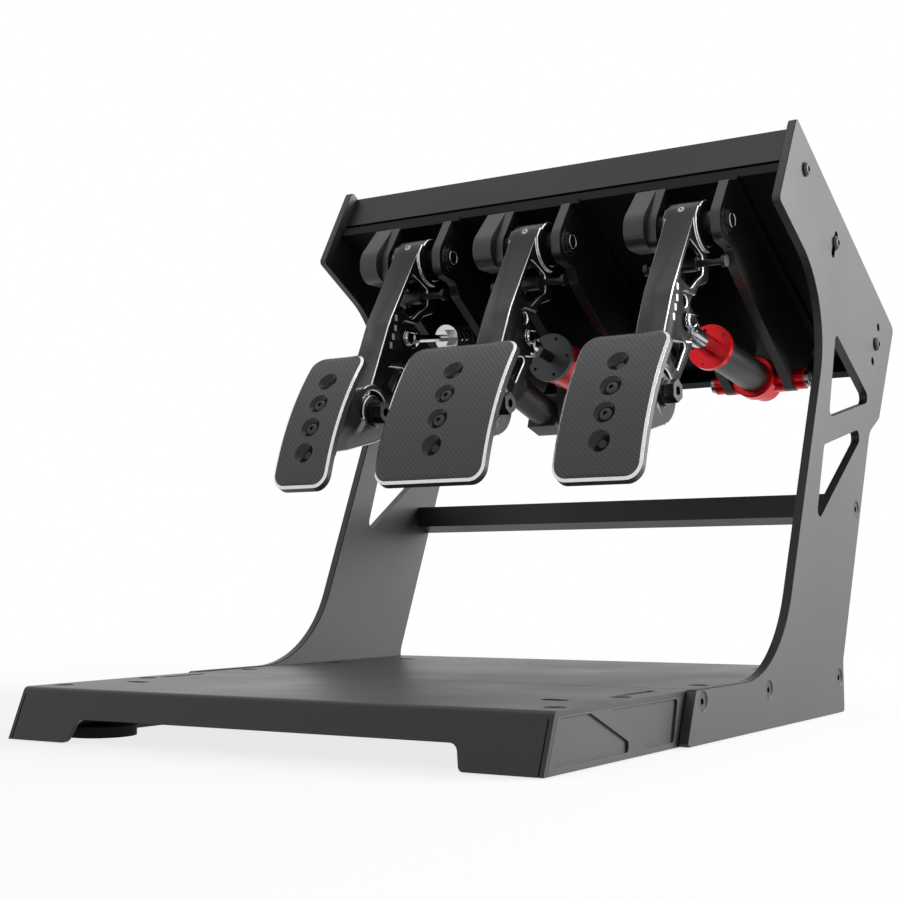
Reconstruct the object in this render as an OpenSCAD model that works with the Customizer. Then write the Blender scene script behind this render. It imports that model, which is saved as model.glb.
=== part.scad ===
// Sim racing pedal set: three hanging pedals under a tilted mounting plate,
// carried by two side plates on a low base with a heel plate.
// Millimetres, +X right, +Y away from the driver, +Z up, origin on the floor
// under the middle of the frame.

/* [Frame] */
// Overall width over the side plates
width = 400; // [380:1:440]
// Overall depth from the skirt edge to the rear corner of the side plates
depth = 584; // [560:1:620]
// Height of the top front corner of the side plates
height = 428; // [420:1:450]
// Thickness of each side plate
side_t = 6.5; // [5:0.5:9]
// Slope of the head, downwards to the rear, in degrees
slope = 30; // [28:0.5:32]
// Length of the head's top edge
head_len = 251; // [248:1:260]
// Depth of the head's front, square to its top edge
head_drop = 77.5; // [74:0.5:84]
// Lean of the leg, in degrees from the floor
leg_lean = 66.3; // [64:0.1:69]
// Height of the foot of each side plate
foot_h = 33.7; // [32:0.1:38]
// Width of the leg, square to its edges
leg_w = 115; // [108:1:120]
// Distance from the middle back to where the leg's front edge meets the foot's top
leg_y = 20; // [10:1:24]
// Distance from the middle to the foot's front end, negative to the front
foot_front = -132; // [-150:1:-120]
// Slant of the foot's front end
foot_slant = 14; // [10:1:18]
// Radius between the foot and the leg
foot_fillet = 92; // [70:1:96]
// Radius between the leg and the head
head_fillet = 70; // [50:1:74]
// Gap under the plates, made by the rubber feet
floor_gap = 1; // [0.5:0.1:2]

/* [Base] */
// Height of the heel plate's top face
heel_z = 33.1; // [31:0.1:36]
// Thickness of the heel plate sheets
sheet_t = 3; // [2:0.5:4]
// Backward slant of the skirt, over its height
skirt_slant = 13.2; // [8:0.1:18]
// Half width of the notch in the skirt
notch_half = 137.5; // [120:0.5:150]
// Height of the notch in the skirt
notch_h = 14; // [8:0.5:18]
// Distance from the skirt edge back to the seam of the two sheets
seam_back = 184; // [150:1:220]
// Distance from the middle back to the rear edge of the heel plate
heel_rear = 147.4; // [130:0.2:150]
// Width of each side beam
beam_w = 22; // [16:1:30]
// Depth of the milled pockets in the side beams
pocket_depth = 1.6; // [0.8:0.1:3]
// Border left round the milled pockets
pocket_border = 3.5; // [2.5:0.1:5]
// Diameter of the rubber feet
rubber_d = 16; // [12:1:18]
// Height of the rear cross bar's top face
bar_top = 162.4; // [156:0.1:168]
// Height of the rear cross bar's section
bar_h = 22.5; // [20:0.5:26]
// Distance from the middle back to the front of the rear cross bar
bar_y = 176; // [172:0.5:180]
// Height of the screws in the foot
foot_screw_z = 26.2; // [24:0.2:26.4]
// Gap between the two heel plate sheets
seam_gap = 1; // [0.5:0.1:2]

/* [Head] */
// Set-back of the fascia from the head's front edge
fascia_back = 8.8; // [6:0.1:12]
// Height of the fascia's front face
fascia_h = 30; // [26:0.5:31]
// Depth of the fascia's box section
fascia_w = 40; // [30:1:50]
// Depth of the mounting plate's underside below the head's top edge
deck_v = 45; // [44:0.5:47]
// Thickness of the mounting plate
deck_t = 8; // [6:0.5:10]
// Drop of the mounting plate's rear lip
lip_drop = 11; // [8:0.5:14]
// Set-back of the mounting plate from the head's front edge
deck_front = 6; // [4:0.5:8]
// Length of the mounting plate along the slope
deck_len = 232; // [226:1:238]
// Place of the rear screw and the tilt holes along the head
tilt_u = 217; // [212:1:220]
// Width of the side rails on the mounting plate
rail_w = 12; // [8:0.5:16]
// Pitch of the row of tilt holes
tilt_pitch = 16.9; // [15:0.1:19]
// Length of the tilt slots
tilt_slot_len = 24; // [20:1:26]

/* [Pedals] */
// Clutch pedal's place across the frame
clutch_x = -107; // [-112:0.5:-100]
// Brake pedal's place across the frame
brake_x = 0; // [-4:0.5:4]
// Throttle pedal's place across the frame
throttle_x = 128.5; // [124:0.5:132]
// Pivot's place behind the head's front edge, along the slope
pivot_u = 14.3; // [12:0.1:17]
// Pivot's depth below the head's top edge, square to the slope
pivot_v = 78.4; // [77:0.1:81]
// Width of the pedal arms
arm_w = 22; // [20:0.5:24]
// Thickness of the arm's front wall
arm_front_t = 4.5; // [3:0.1:6]
// Thickness of the arm's two webs
arm_web_t = 4.5; // [3.5:0.1:6]
// Diameter of the pivot shafts
shaft_d = 12; // [10:0.5:14]
// Thickness of the cheek plates
cheek_t = 7.5; // [5:0.5:9]
// Clear width between the cheek plates
cheek_gap = 42; // [40:0.5:46]
// Thickness of the pedals' base plates
base_t = 5; // [4:0.5:6]
// Diameter of the stop sleeves
sleeve_d = 10.5; // [8:0.5:12]
// Diameter of the clevis pins
pin_d = 8; // [6:0.5:9]

/* [Pedal faces] */
// Radius of the faces' curve
face_r = 220; // [180:5:260]
// Thickness of the faces
face_t = 6; // [4:0.5:8]
// Length of the faces along their chord
face_len = 113; // [105:1:120]
// Corner radius of the faces
face_corner = 11; // [6:0.5:14]
// Lean of the faces, in degrees from the floor
face_lean = 62.4; // [58:0.2:66]
// Width of the clutch face
clutch_face_w = 48; // [44:1:56]
// Width of the brake face
brake_face_w = 89; // [80:1:96]
// Width of the throttle face
throttle_face_w = 64; // [58:1:72]
// Pitch of the four holes in a face
face_hole_pitch = 20.4; // [18:0.2:22]
// Mouth diameter of the holes in a face
face_hole_d = 15.5; // [12:0.5:17]
// Radius of the angle disc on the face bracket
disc_r = 21.5; // [19:0.5:23]
// Thickness of the face brackets' side plates
bracket_t = 4; // [3:0.5:5]
// Diameter of the angle lock bolts
lock_d = 8; // [6:0.5:9]
// Diameter of the face screws
face_screw_d = 5.2; // [4:0.1:6]
// Shift of the brake face to the right
brake_face_shift = 2; // [0:0.5:4]
// Shift of the throttle face to the right
throttle_face_shift = 1.5; // [0:0.5:4]
// Drop of the throttle face along its chord
throttle_face_drop = 4; // [0:0.5:6]

/* [Dampers and spring] */
// Diameter of the throttle damper's chrome rod
chrome_d = 14; // [12:0.5:16]
// Diameter of the throttle damper's body
damper_d = 25; // [23:0.5:28]
// Diameter of the red flange and rear caps
cap_d = 34; // [32:0.5:36]
// Diameter of the brake's front flange
brake_flange_d = 38; // [36:0.5:39]
// Diameter of the trunnion bolts
trunnion_d = 8; // [6:0.5:9]
// Distance from the clevis pin to the throttle's red flange
flange_s = 62.3; // [58:0.1:66]
// Distance from the clevis pin to the brake's front flange
brake_s = 53; // [50:0.5:56]
// Distance from the clevis pin to the throttle's rear cap
cap_s = 147; // [145:0.5:149]
// Distance from the clevis pin to the pistons
piston_s = 112; // [106:1:112]
// Distance from the clevis pin to the end of the clevis
clevis_len = 24; // [21:0.5:26]
// Diameter of the brake rod
brake_rod_d = 8; // [7:0.5:10]
// Diameter of the clutch rod
clutch_rod_d = 6; // [5:0.5:7]
// Distance from the clutch clevis pin to the rear face of its nut
nut_s = 74; // [70:0.5:75]
// Length of the wide ring round the rear end of a damper
cap_ring = 9; // [6:0.5:14]
// Width of the red bushes outside the cheeks
bush_w = 8; // [6:0.5:10]
// Width of the angle sensor housings
sensor_w = 14; // [12:0.5:16]
// Outer diameter of the pivot bearings
bearing_d = 21; // [18:0.5:22]
// Diameter of the stop sleeves' bolts
stop_bolt_d = 5; // [4:0.5:6]
// Half width of the base plates
base_half = 34; // [30:1:38]
// Length of the base plates
base_len = 210; // [202:1:216]
// Outer diameter of the clutch spring
spring_d = 22; // [18:0.5:26]
// Wire diameter of the clutch spring
wire_d = 2.8; // [2:0.1:3.2]
// Working turns of the clutch spring
spring_turns = 5; // [4:1:6]

/* [Brake cylinder and control box] */
// Place of the brake's pressure cylinder across the frame
pressure_x = -50; // [-54:1:-46]
// Length of the brake's pressure cylinder
pressure_len = 50; // [40:1:54]
// Place of the control box across the frame
box_x = 49; // [46:1:56]
// Place of the control box along the head
box_u = 118; // [100:1:140]
// Width of the control box
box_w = 26; // [20:1:30]
// Length of the control box
box_l = 42; // [36:1:50]
// Depth of the control box
box_h = 24; // [18:1:28]

/* [Fits and fasteners] */
// Diameter of the frame screws
screw_d = 6; // [5:0.5:7]
// Head diameter of the button-head screws
button_d = 10.5; // [9:0.5:12]
// Head diameter of the countersunk screws
csk_d = 13; // [10:0.5:14]
// Diameter of the free holes in the side plates
tilt_hole_d = 6.6; // [6:0.1:7.5]
// Radial clearance of screws and running fits
fit = 0.05; // [0.02:0.01:0.08]
// Clearance left between pieces that only stand near each other
seat = 0.3; // [0.2:0.05:0.5]
// Radial play of the clevises on their pins
pin_play = 0.7; // [0.65:0.05:0.8]
// Width of the rig mounting slots in the heel plate
rig_slot_w = 9; // [8:0.5:10]
// Length of the rig mounting slots in the heel plate
rig_slot_len = 18; // [14:1:22]
// Distance between the rig mounting slots across the heel plate
rig_slot_x = 314; // [300:1:320]
// Distance between the rig mounting slots along the heel plate
rig_slot_y = 315; // [300:1:330]

/* [Hidden] */
$fn = 48;
black = "#2a2b2d";
dark = "#1f2022";
graphite = "#3a3c3f";
silver = "#c9cbce";
red = "#c8141e";
rubber = "#161616";
half_w = width / 2;
inner_x = half_w - side_t;
front_y = -depth / 2;
apex_r = 6;
corner_r = 4;
peak_y = depth / 2 - (head_len - apex_r) * cos(slope) + apex_r * sin(slope) - apex_r;
plate_z = floor_gap;
pivot = head_point(pivot_u, pivot_v);
cheek_top_v = deck_v + base_t;
cheek_x = cheek_gap / 2;
pedals = [clutch_x, brake_x, throttle_x];
rig_mid_y = -56.5;
ear_x = 2.5;
trunnion_in = 10;
pressure_angle = -17.5;
pressure_front = pivot + [50, -101];
pressure_end = pressure_front + pressure_len * [cos(pressure_angle), sin(pressure_angle)];

// Point in the side view (y, z) from its place in the head: u runs back along
// the top edge from the peak, v runs down square to it
function head_point(u, v) =
    [peak_y + u * cos(slope) - v * sin(slope), height - u * sin(slope) - v * cos(slope)];

// Direction in the side view at an angle above +Y
function ray(a) = [cos(a), sin(a)];

// Crossing point of two lines in the side view, each a point and an angle
function crossing(p, a, q, b) =
    let (d = ray(a), e = ray(b), w = q - p)
    p + d * (w.x * e.y - w.y * e.x) / (d.x * e.y - d.y * e.x);

// Points of one corner rounded with radius r
function corner(a, b, c, r) =
    let (u = (a - b) / norm(a - b),
         w = (c - b) / norm(c - b),
         half = acos(u * w) / 2,
         centre = b + (u + w) / norm(u + w) * r / sin(half),
         s = b + u * r / tan(half) - centre,
         e = b + w * r / tan(half) - centre,
         from = atan2(s.y, s.x),
         turn = (atan2(e.y, e.x) - from + 540) % 360 - 180,
         n = ceil(abs(turn) / 12))
    r <= 0 ? [b] : [for (i = [0 : n]) centre + r * ray(from + turn * i / n)];

// Outline with rounded corners, from points [y, z, radius]
function rounded(p) =
    let (n = len(p), flat = [for (v = p) [v[0], v[1]]])
    [for (i = [0 : n - 1]) each
        corner(flat[(i + n - 1) % n], flat[i], flat[(i + 1) % n], p[i][2])];

// Outline point from a side view point and a radius
function knot(p, r) = [p.x, p.y, r];

// Flat plate whose side view outline is extruded along X
module plate(x, t, outline) {
    translate([x, 0, 0])
        rotate([90, 0, 90])
            linear_extrude(t)
                polygon(outline);
}

// Round bar or bore along X, from x over a length
module cross_pin(x, len, p, d) {
    translate([x, p.x, p.y])
        rotate([0, 90, 0])
            cylinder(d = d, h = len);
}

// Frame of the head: Y runs back along the slope from the peak, -Z is depth below it
module head() {
    translate([0, peak_y, height])
        rotate([-slope, 0, 0])
            children();
}

// Straight slot through a sheet, along X, centred
module slot(len, w, h) {
    cube([len - w, w, h], center = true);
    for (s = [-1, 1])
        translate([s * (len - w) / 2, 0, 0])
            cylinder(d = w, h = h, center = true);
}

// Lines of the leg in the side view
function leg_front(z) = leg_y + (z - foot_h) / tan(leg_lean);
function leg_rear(z) = leg_front(z) + leg_w / sin(leg_lean);
shoulder = crossing([leg_y, foot_h], leg_lean, head_point(0, head_drop), -slope);

// Screw places in the side view
fascia_screw_at = [29.6, 23.8];
fascia_screw = head_point(fascia_screw_at.x, fascia_screw_at.y);
slot_screw = head_point(104.5, 30.4);
slot_middle = head_point(104.5, 31.5);
deck_screw = head_point(tilt_u, deck_v - deck_t / 2);
bar_screw = [bar_y + 9.7, bar_top - 12.2];
foot_screws = [for (y = [foot_front + 24, -1, heel_rear - 10]) [y, foot_screw_z]];
tilt_holes = [for (s = [-1, 1]) head_point(tilt_u, deck_v - deck_t / 2 + s * tilt_pitch)];
csk_h = (csk_d - screw_d) / 2;
csk_deep = 0.7;

// Triangular cut-outs of the leg, placed from the shoulder
upper_cut = rounded([
    knot(shoulder + [10.7, -21.6], 5),
    knot(shoulder + [90.5, -66.4], 5),
    knot(shoulder + [-9.1, -87.4], 5)
]);
lower_cut = rounded([
    knot(shoulder + [-20.8, -107.8], 5),
    knot(shoulder + [81, -86], 5.5),
    knot(shoulder + [-43.1, -168.2], 5)
]);

function side_outline() = rounded([
    knot(head_point(0, 0), corner_r),
    knot(head_point(head_len, 0), apex_r),
    knot(head_point(head_len, 90), apex_r),
    knot([leg_rear(211.5), 211.5], 15),
    knot([heel_rear, foot_h + (heel_rear - leg_rear(foot_h)) * tan(leg_lean)], 12),
    knot([heel_rear, plate_z], 2),
    knot([foot_front, plate_z], 2),
    knot([foot_front + foot_slant, foot_h], corner_r),
    knot([leg_y, foot_h], foot_fillet),
    knot(shoulder, head_fillet),
    knot(head_point(0, head_drop), corner_r)
]);

// Cone and hole for a countersunk screw, mouth at z = 0, shank downwards
module countersunk_hole(len, play) {
    translate([0, 0, -csk_h])
        cylinder(r1 = screw_d / 2 + play, r2 = csk_d / 2 + play, h = csk_h + 0.01);
    translate([0, 0, -len])
        cylinder(r = screw_d / 2 + play, h = len);
}

module countersunk_screw(len) {
    difference() {
        countersunk_hole(len, 0);
        translate([0, 0, -csk_deep])
            cylinder(d = csk_d + 2, h = csk_deep + 1);
        translate([0, 0, -csk_deep - 2.2])
            cylinder(d = 4.6, h = 3, $fn = 6);
    }
}

module button_screw(len) {
    difference() {
        union() {
            rotate_extrude()
                polygon([
                    [0, 0],
                    [button_d / 2, 0],
                    [button_d / 2, 1.3],
                    [button_d / 2 - 1.6, 2.9],
                    [0, 3.3]
                ]);
            translate([0, 0, -len])
                cylinder(d = screw_d, h = len + 0.01);
        }
        translate([0, 0, 1.2])
            cylinder(d = 4.6, h = 3, $fn = 6);
    }
}

// Turns a screw at the side face s (-1 left, 1 right) to point inwards
module at_side(s, p) {
    translate([s * half_w, p.x, p.y])
        rotate([0, s * 90, 0])
            children();
}

module side_plate(s) {
    color(black)
        difference() {
            plate(s > 0 ? inner_x : -half_w, side_t, side_outline());
            plate(s > 0 ? inner_x - 1 : -half_w - 1, side_t + 2, upper_cut);
            plate(s > 0 ? inner_x - 1 : -half_w - 1, side_t + 2, lower_cut);
            for (p = [fascia_screw, deck_screw])
                cross_pin(s > 0 ? inner_x - 1 : -half_w - 1, side_t + 2, p, screw_d + 2 * fit);
            for (p = tilt_holes)
                cross_pin(s > 0 ? inner_x - 1 : -half_w - 1, side_t + 2, p, tilt_hole_d);
            for (p = concat(foot_screws, [bar_screw]))
                at_side(s, p)
                    countersunk_hole(side_t + 1, fit);
            translate([s * (half_w - side_t / 2), slot_middle.x, slot_middle.y])
                rotate([90 - slope, 0, 0])
                    rotate([90, 0, 90])
                        slot(tilt_slot_len, tilt_hole_d, side_t + 2);
        }
}

// Outline of a side beam, behind the slanted skirt
beam_top = heel_z - sheet_t;
skirt_lean = atan2(heel_z - plate_z, skirt_slant);
skirt_wall = sheet_t / sin(skirt_lean);
fold_r = 4;
long_slot_x = 176;
function skirt_y(z) = front_y + (z - plate_z) / tan(skirt_lean);

pocket_top = beam_top - 1;
pocket_low = plate_z + pocket_border;
rib_y = front_y + 100;
front_pocket = rounded([
    knot([skirt_y(pocket_low) + skirt_wall + pocket_border, pocket_low], 2),
    knot([skirt_y(pocket_top) + skirt_wall + pocket_border, pocket_top], 2),
    knot([rib_y - 48, pocket_top], 2),
    knot([rib_y - 4, pocket_low + 6], 2),
    knot([rib_y - 4, pocket_low], 2)
]);
rear_pocket = rounded([
    knot([rib_y - 25, pocket_top - 2], 1),
    knot([rib_y - 23, pocket_top], 1),
    knot([foot_front + 2, pocket_top], 2),
    knot([foot_front - 5, pocket_low], 2),
    knot([rib_y + 18, pocket_low], 2)
]);
feet_y = [-60, heel_rear - 22];
front_foot = [inner_x - 27, front_y + 54];
front_foot_d = 46;
front_foot_h = 7;
heel_screws = [front_y + 35, front_y + 112, -72, 34];
heel_screw_x = inner_x - 12.5;

module base_beam(s) {
    color(dark)
        difference() {
            plate(s > 0 ? inner_x - beam_w : -inner_x, beam_w, [
                [skirt_y(plate_z) + skirt_wall + seat, plate_z],
                [skirt_y(beam_top) + skirt_wall + seat, beam_top],
                [heel_rear - 4, beam_top],
                [heel_rear - 4, plate_z]
            ]);
            for (pocket = [front_pocket, rear_pocket])
                plate(s > 0 ? inner_x - pocket_depth : -inner_x - 1, pocket_depth + 1, pocket);
            for (y = feet_y)
                translate([s * (inner_x - beam_w / 2), y, plate_z - 1])
                    cylinder(d = rubber_d + 2 * fit, h = 5);
            translate([s * front_foot.x, front_foot.y, plate_z - 1])
                cylinder(d = front_foot_d + 2 * fit, h = front_foot_h - plate_z + 1);
            for (p = foot_screws)
                cross_pin(s > 0 ? inner_x - 14 : -inner_x - 1, 15, p, screw_d + 2 * fit);
            for (y = heel_screws)
                translate([s * heel_screw_x, y, heel_z])
                    countersunk_hole(sheet_t + 10, fit);
        }
}

// Rig mounting slots, on a rectangle
rig_slots = [for (x = [-1, 1], y = [-1, 1]) [x * rig_slot_x / 2, rig_mid_y + y * rig_slot_y / 2]];
seam_y = front_y + seam_back;

module heel_sheet(y0, y1) {
    translate([-inner_x, y0, beam_top])
        cube([2 * inner_x, y1 - y0, sheet_t]);
}

module heel_cuts() {
    for (p = rig_slots)
        translate([p.x, p.y, beam_top + sheet_t / 2])
            slot(rig_slot_len, rig_slot_w, sheet_t + 2);
    for (x = [-1, 1], y = heel_screws)
        translate([x * heel_screw_x, y, heel_z])
            countersunk_hole(sheet_t + 1, fit);
}

// Folded sheet of the front heel plate in the side view
function folded_sheet() = rounded([
    knot([skirt_y(plate_z), plate_z], 0),
    knot([skirt_y(heel_z), heel_z], fold_r),
    knot([seam_y, heel_z], 0),
    knot([seam_y, beam_top], 0),
    knot([skirt_y(beam_top) + skirt_wall, beam_top], 0),
    knot([skirt_y(plate_z) + skirt_wall, plate_z], 0)
]);

module heel_plate_front() {
    deep = skirt_slant + sheet_t + 12;
    color(black)
        difference() {
            plate(-inner_x, 2 * inner_x, folded_sheet());
            translate([0, front_y - 1, 0])
                rotate([90, 0, 180])
                    linear_extrude(deep)
                        polygon(rounded([
                            [notch_half + 16, plate_z - 2, 0],
                            [notch_half + 16, plate_z - 0.01, 0],
                            [notch_half + 5.5, plate_z - 0.01, 4],
                            [notch_half + 1, plate_z + notch_h, 6],
                            [-notch_half - 1, plate_z + notch_h, 6],
                            [-notch_half - 5.5, plate_z - 0.01, 4],
                            [-notch_half - 16, plate_z - 0.01, 0],
                            [-notch_half - 16, plate_z - 2, 0]
                        ]));
            for (x = [-1, 1])
                plate(x * (inner_x - 3) - 0.5, 1, [
                    [skirt_y(plate_z - 1) - 1, plate_z - 1],
                    [skirt_y(heel_z - fold_r) - 1, heel_z - fold_r],
                    [skirt_y(heel_z - fold_r) + 1, heel_z - fold_r],
                    [skirt_y(plate_z - 1) + 1, plate_z - 1]
                ]);
            for (x = [-1, 1])
                translate([x * long_slot_x, front_y + 143, beam_top + sheet_t / 2])
                    rotate([0, 0, 90])
                        slot(44, 6.5, sheet_t + 2);
            heel_cuts();
        }
}

module heel_plate_rear() {
    color(black)
        difference() {
            heel_sheet(seam_y + seam_gap, heel_rear);
            heel_cuts();
        }
}

// Rectangular tubes across the base, between the side beams
module base_cross_rails() {
    rail_len = 2 * (inner_x - beam_w);
    color(dark)
        for (y = [seam_y - 8, 20])
            difference() {
                translate([-rail_len / 2, y, beam_top - 20])
                    cube([rail_len, 30, 20]);
                translate([-rail_len / 2 - 1, y + 2.5, beam_top - 17.5])
                    cube([rail_len + 2, 25, 15]);
            }
}

module rubber_feet() {
    color(rubber)
        for (s = [-1, 1]) {
            for (y = feet_y)
                translate([s * (inner_x - beam_w / 2), y, 0])
                    cylinder(d = rubber_d, h = plate_z + 4);
            translate([s * front_foot.x, front_foot.y, 0])
                cylinder(d = front_foot_d, h = front_foot_h);
        }
}

// Hollow extrusion with a screw boss at each end
module rear_cross_bar() {
    wall = 2.5;
    low = bar_top - bar_h;
    color(dark)
        difference() {
            plate(-inner_x, 2 * inner_x, [
                [bar_y, low + 5.3], [bar_y, bar_top],
                [leg_rear(bar_top) - wall, bar_top], [leg_rear(low) - wall, low]
            ]);
            difference() {
                plate(-inner_x - 1, 2 * inner_x + 2, [
                    [bar_y + wall, low + 7.6], [bar_y + wall, bar_top - wall],
                    [leg_rear(bar_top) - 2.4 * wall, bar_top - wall],
                    [leg_rear(low) - 2.4 * wall, low + wall]
                ]);
                cross_pin(-inner_x - 2, 2 * inner_x + 4, bar_screw, screw_d + 5);
            }
            for (x = [-inner_x - 1, inner_x - 24])
                cross_pin(x, 25, bar_screw, screw_d + 2 * fit);
        }
}

// Box section across the front of the head
module fascia_beam() {
    wall = 3;
    gap = 1.5;
    color(black)
        difference() {
            head() {
                difference() {
                    translate([-inner_x, fascia_back, -gap - fascia_h])
                        cube([2 * inner_x, fascia_w, fascia_h]);
                    translate([-inner_x - 1, fascia_back + wall, -gap - fascia_h + wall])
                        cube([2 * inner_x + 2, fascia_w - 2 * wall, fascia_h - 2 * wall]);
                }
                translate([-inner_x, fascia_screw_at.x - 7, -gap - fascia_h + 1])
                    cube([2 * inner_x, 14, 13.6]);
            }
            for (x = [-inner_x - 1, inner_x - 24])
                cross_pin(x, 25, fascia_screw, screw_d + 2 * fit);
        }
}

module mounting_plate() {
    color(black)
        difference() {
            head()
                union() {
                    translate([-inner_x, deck_front, -deck_v])
                        cube([2 * inner_x, deck_len, deck_t]);
                    translate([-inner_x, deck_front + deck_len - deck_t, -deck_v - lip_drop])
                        cube([2 * inner_x, deck_t, lip_drop + 1]);
                }
            for (x = [-inner_x - 1, inner_x - 20])
                cross_pin(x, 21, deck_screw, screw_d + 2 * fit);
        }
}

module plate_side_rails() {
    rail_v = deck_v - deck_t;
    color(dark)
        for (s = [-1, 1])
            difference() {
                head()
                    translate([s > 0 ? inner_x - rail_w : -inner_x, 88, -rail_v])
                        cube([rail_w, 104, 13]);
                cross_pin(
                    s > 0 ? inner_x - rail_w - 1 : -inner_x - 1, rail_w + 2,
                    slot_screw, screw_d + 2 * fit
                );
            }
}

module button_screws() {
    color(dark)
        for (s = [-1, 1], p = [fascia_screw, slot_screw, deck_screw])
            at_side(s, p)
                button_screw(side_t + 10);
}

module countersunk_screws() {
    color(dark) {
        for (s = [-1, 1], p = concat(foot_screws, [bar_screw]))
            at_side(s, p)
                countersunk_screw(side_t + 12);
        for (s = [-1, 1], y = heel_screws)
            translate([s * heel_screw_x, y, heel_z])
                countersunk_screw(sheet_t + 8);
    }
}

// Places on a pedal in the side view, measured from its pivot
stop_place = pivot + [-11.5, -31];
arm_end = pivot + [-86, -130];
damper_pin = pivot + [-33, -75];
damper_trunnion = pivot + [130, -100.5];
clutch_pin = pivot + [-35, -67];
clutch_pivot = pivot + [97, -48.5];
face_middle = pivot + [-138.7, -134.9];
damper_len = norm(damper_trunnion - damper_pin);
clutch_len = norm(clutch_pivot - clutch_pin);
damper_angle = atan2(damper_trunnion.y - damper_pin.y, damper_trunnion.x - damper_pin.x);
clutch_angle = atan2(clutch_pivot.y - clutch_pin.y, clutch_pivot.x - clutch_pin.x);
knee = pivot + [-59, -57];
shin = pivot + [-71, -83];
web_x = arm_w / 2 - arm_web_t;
sleeve_r = sleeve_d / 2;
boss_d = shaft_d + 22;
hub_d = 42;
hub_t = 2;
hub_x = arm_w / 2 + hub_t;
recess_t = 1.2;
spare_pin = pivot + [-35.5, -61];

function arm_outline() = rounded([
    knot(pivot + [-14.5, 13], 2),
    knot(knee, 60),
    knot(shin, 60),
    knot(pivot + [-98, -140], 8),
    knot(pivot + [-72, -147], 12),
    knot(pivot + [-47, -116], 10),
    knot(pivot + [-26.5, -93], 7),
    knot(pivot + [-26.5, -61], 6),
    knot(pivot + [-12, -47], 6),
    knot(pivot + [4, -42], 7),
    knot(pivot + [7, -24], 9),
    knot(pivot + [-5, -14], 8)
]);

// Line inside the arm's front wall
function behind(p, a) = p + arm_front_t * [sin(a), -cos(a)];
thigh_lean = atan2(knee.y - pivot.y - 13, knee.x - pivot.x + 14.5) + 180;
shin_lean = atan2(shin.y - knee.y, shin.x - knee.x) + 180;

// Room between the two webs, open to the rear
function arm_channel() = [
    behind(knee, thigh_lean) + ray(thigh_lean) * 49,
    pivot + [30, -16], pivot + [30, -114],
    behind(shin, shin_lean) - ray(shin_lean) * 32,
    behind(shin, shin_lean), behind(knee, thigh_lean)
];

// Cut-out of the webs round the stop sleeve
function stop_window() = rounded([
    knot(behind(knee, thigh_lean) + ray(thigh_lean) * 52, 3),
    knot(stop_place + [-7, 12], 4),
    knot(stop_place + [sleeve_r + seat, 6.5], 3),
    knot(stop_place + [sleeve_r + seat, -6.5], 4),
    knot(stop_place + [-7, -13.5], 5),
    knot(stop_place + [-16, -20], 4),
    knot(behind(knee, thigh_lean) + ray(thigh_lean) * 17, 3)
]);

// Cut-out of the webs below the clevis pin
function shin_window() = rounded([
    knot(pivot + [-60, -92], 3),
    knot(pivot + [-36.5, -91], 2.5),
    knot(pivot + [-53, -112], 3),
    knot(pivot + [-63.5, -104.5], 3)
]);

// Shallow recess in the outer side of a web, round its clevis pin holes
function pin_recess() = rounded([
    knot(pivot + [-20, -54.5], 0),
    knot(pivot + [-42.5, -53.5], 9),
    knot(pivot + [-50, -83], 9),
    knot(pivot + [-36, -90], 5),
    knot(pivot + [-20, -88], 0)
]);

module pedal_arm(x, pin) {
    color(black)
        difference() {
            union() {
                plate(x - arm_w / 2, arm_w, arm_outline());
                cross_pin(x - hub_x, 2 * hub_x, pivot, boss_d);
                intersection() {
                    cross_pin(x - hub_x, 2 * hub_x, pivot, hub_d);
                    plate(x - hub_x, 2 * hub_x, arm_outline());
                }
                cross_pin(x - arm_w / 2, arm_w, arm_end, 28);
            }
            for (left = [x - arm_w / 2 - 1, x + arm_w / 2 - recess_t])
                plate(left, recess_t + 1, pin_recess());
            plate(x - web_x, 2 * web_x, arm_channel());
            for (outline = [stop_window(), shin_window()])
                plate(x - arm_w / 2 - 1, arm_w + 2, outline);
            cross_pin(x - hub_x - 1, 2 * hub_x + 2, pivot, shaft_d + 2 * fit);
            cross_pin(x - arm_w / 2 - 1, arm_w + 2, pin, pin_d + 2 * fit);
            if (norm(pin - spare_pin) > pin_d + 2)
                cross_pin(x - arm_w / 2 - 1, arm_w + 2, spare_pin, pin_d + 2 * fit);
            cross_pin(x - arm_w / 2 - 1, arm_w + 2, arm_end, lock_d + 2 * fit);
        }
}

// Shaft with its head on the right and a spacer tube on each side of the arm
module pedal_shaft(x) {
    color(silver) {
        cross_pin(x - cheek_x - cheek_t - 4, cheek_gap + 2 * cheek_t + 4 + seat, pivot, shaft_d);
        cross_pin(x + cheek_x + cheek_t + seat, 3, pivot, shaft_d + 4);
        for (s = [-1, 1])
            difference() {
                cross_pin(s > 0 ? x + hub_x : x - cheek_x + seat, cheek_x - hub_x - seat, pivot, shaft_d + 6);
                cross_pin(x - cheek_x - 1, cheek_gap + 2, pivot, shaft_d + 2 * fit);
            }
    }
}

// Frame of a pedal face: X across, Y up its chord, Z out of its surface
module at_face(x, drop) {
    translate([x, face_middle.x, face_middle.y])
        rotate([face_lean, 0, 0])
            translate([0, -drop, 0])
                children();
}

// Round solid along X about the centre of the face's curve
module face_drum(r, w) {
    translate([-w / 2, 0, -face_r])
        rotate([0, 90, 0])
            cylinder(r = r, h = w, $fn = 180);
}

// Places of the four holes along the face's curve
module face_holes(list) {
    for (i = list)
        translate([0, 0, -face_r])
            rotate([-i * face_hole_pitch / face_r * 180 / PI, 0, 0])
                translate([0, 0, face_r])
                    children();
}

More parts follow.
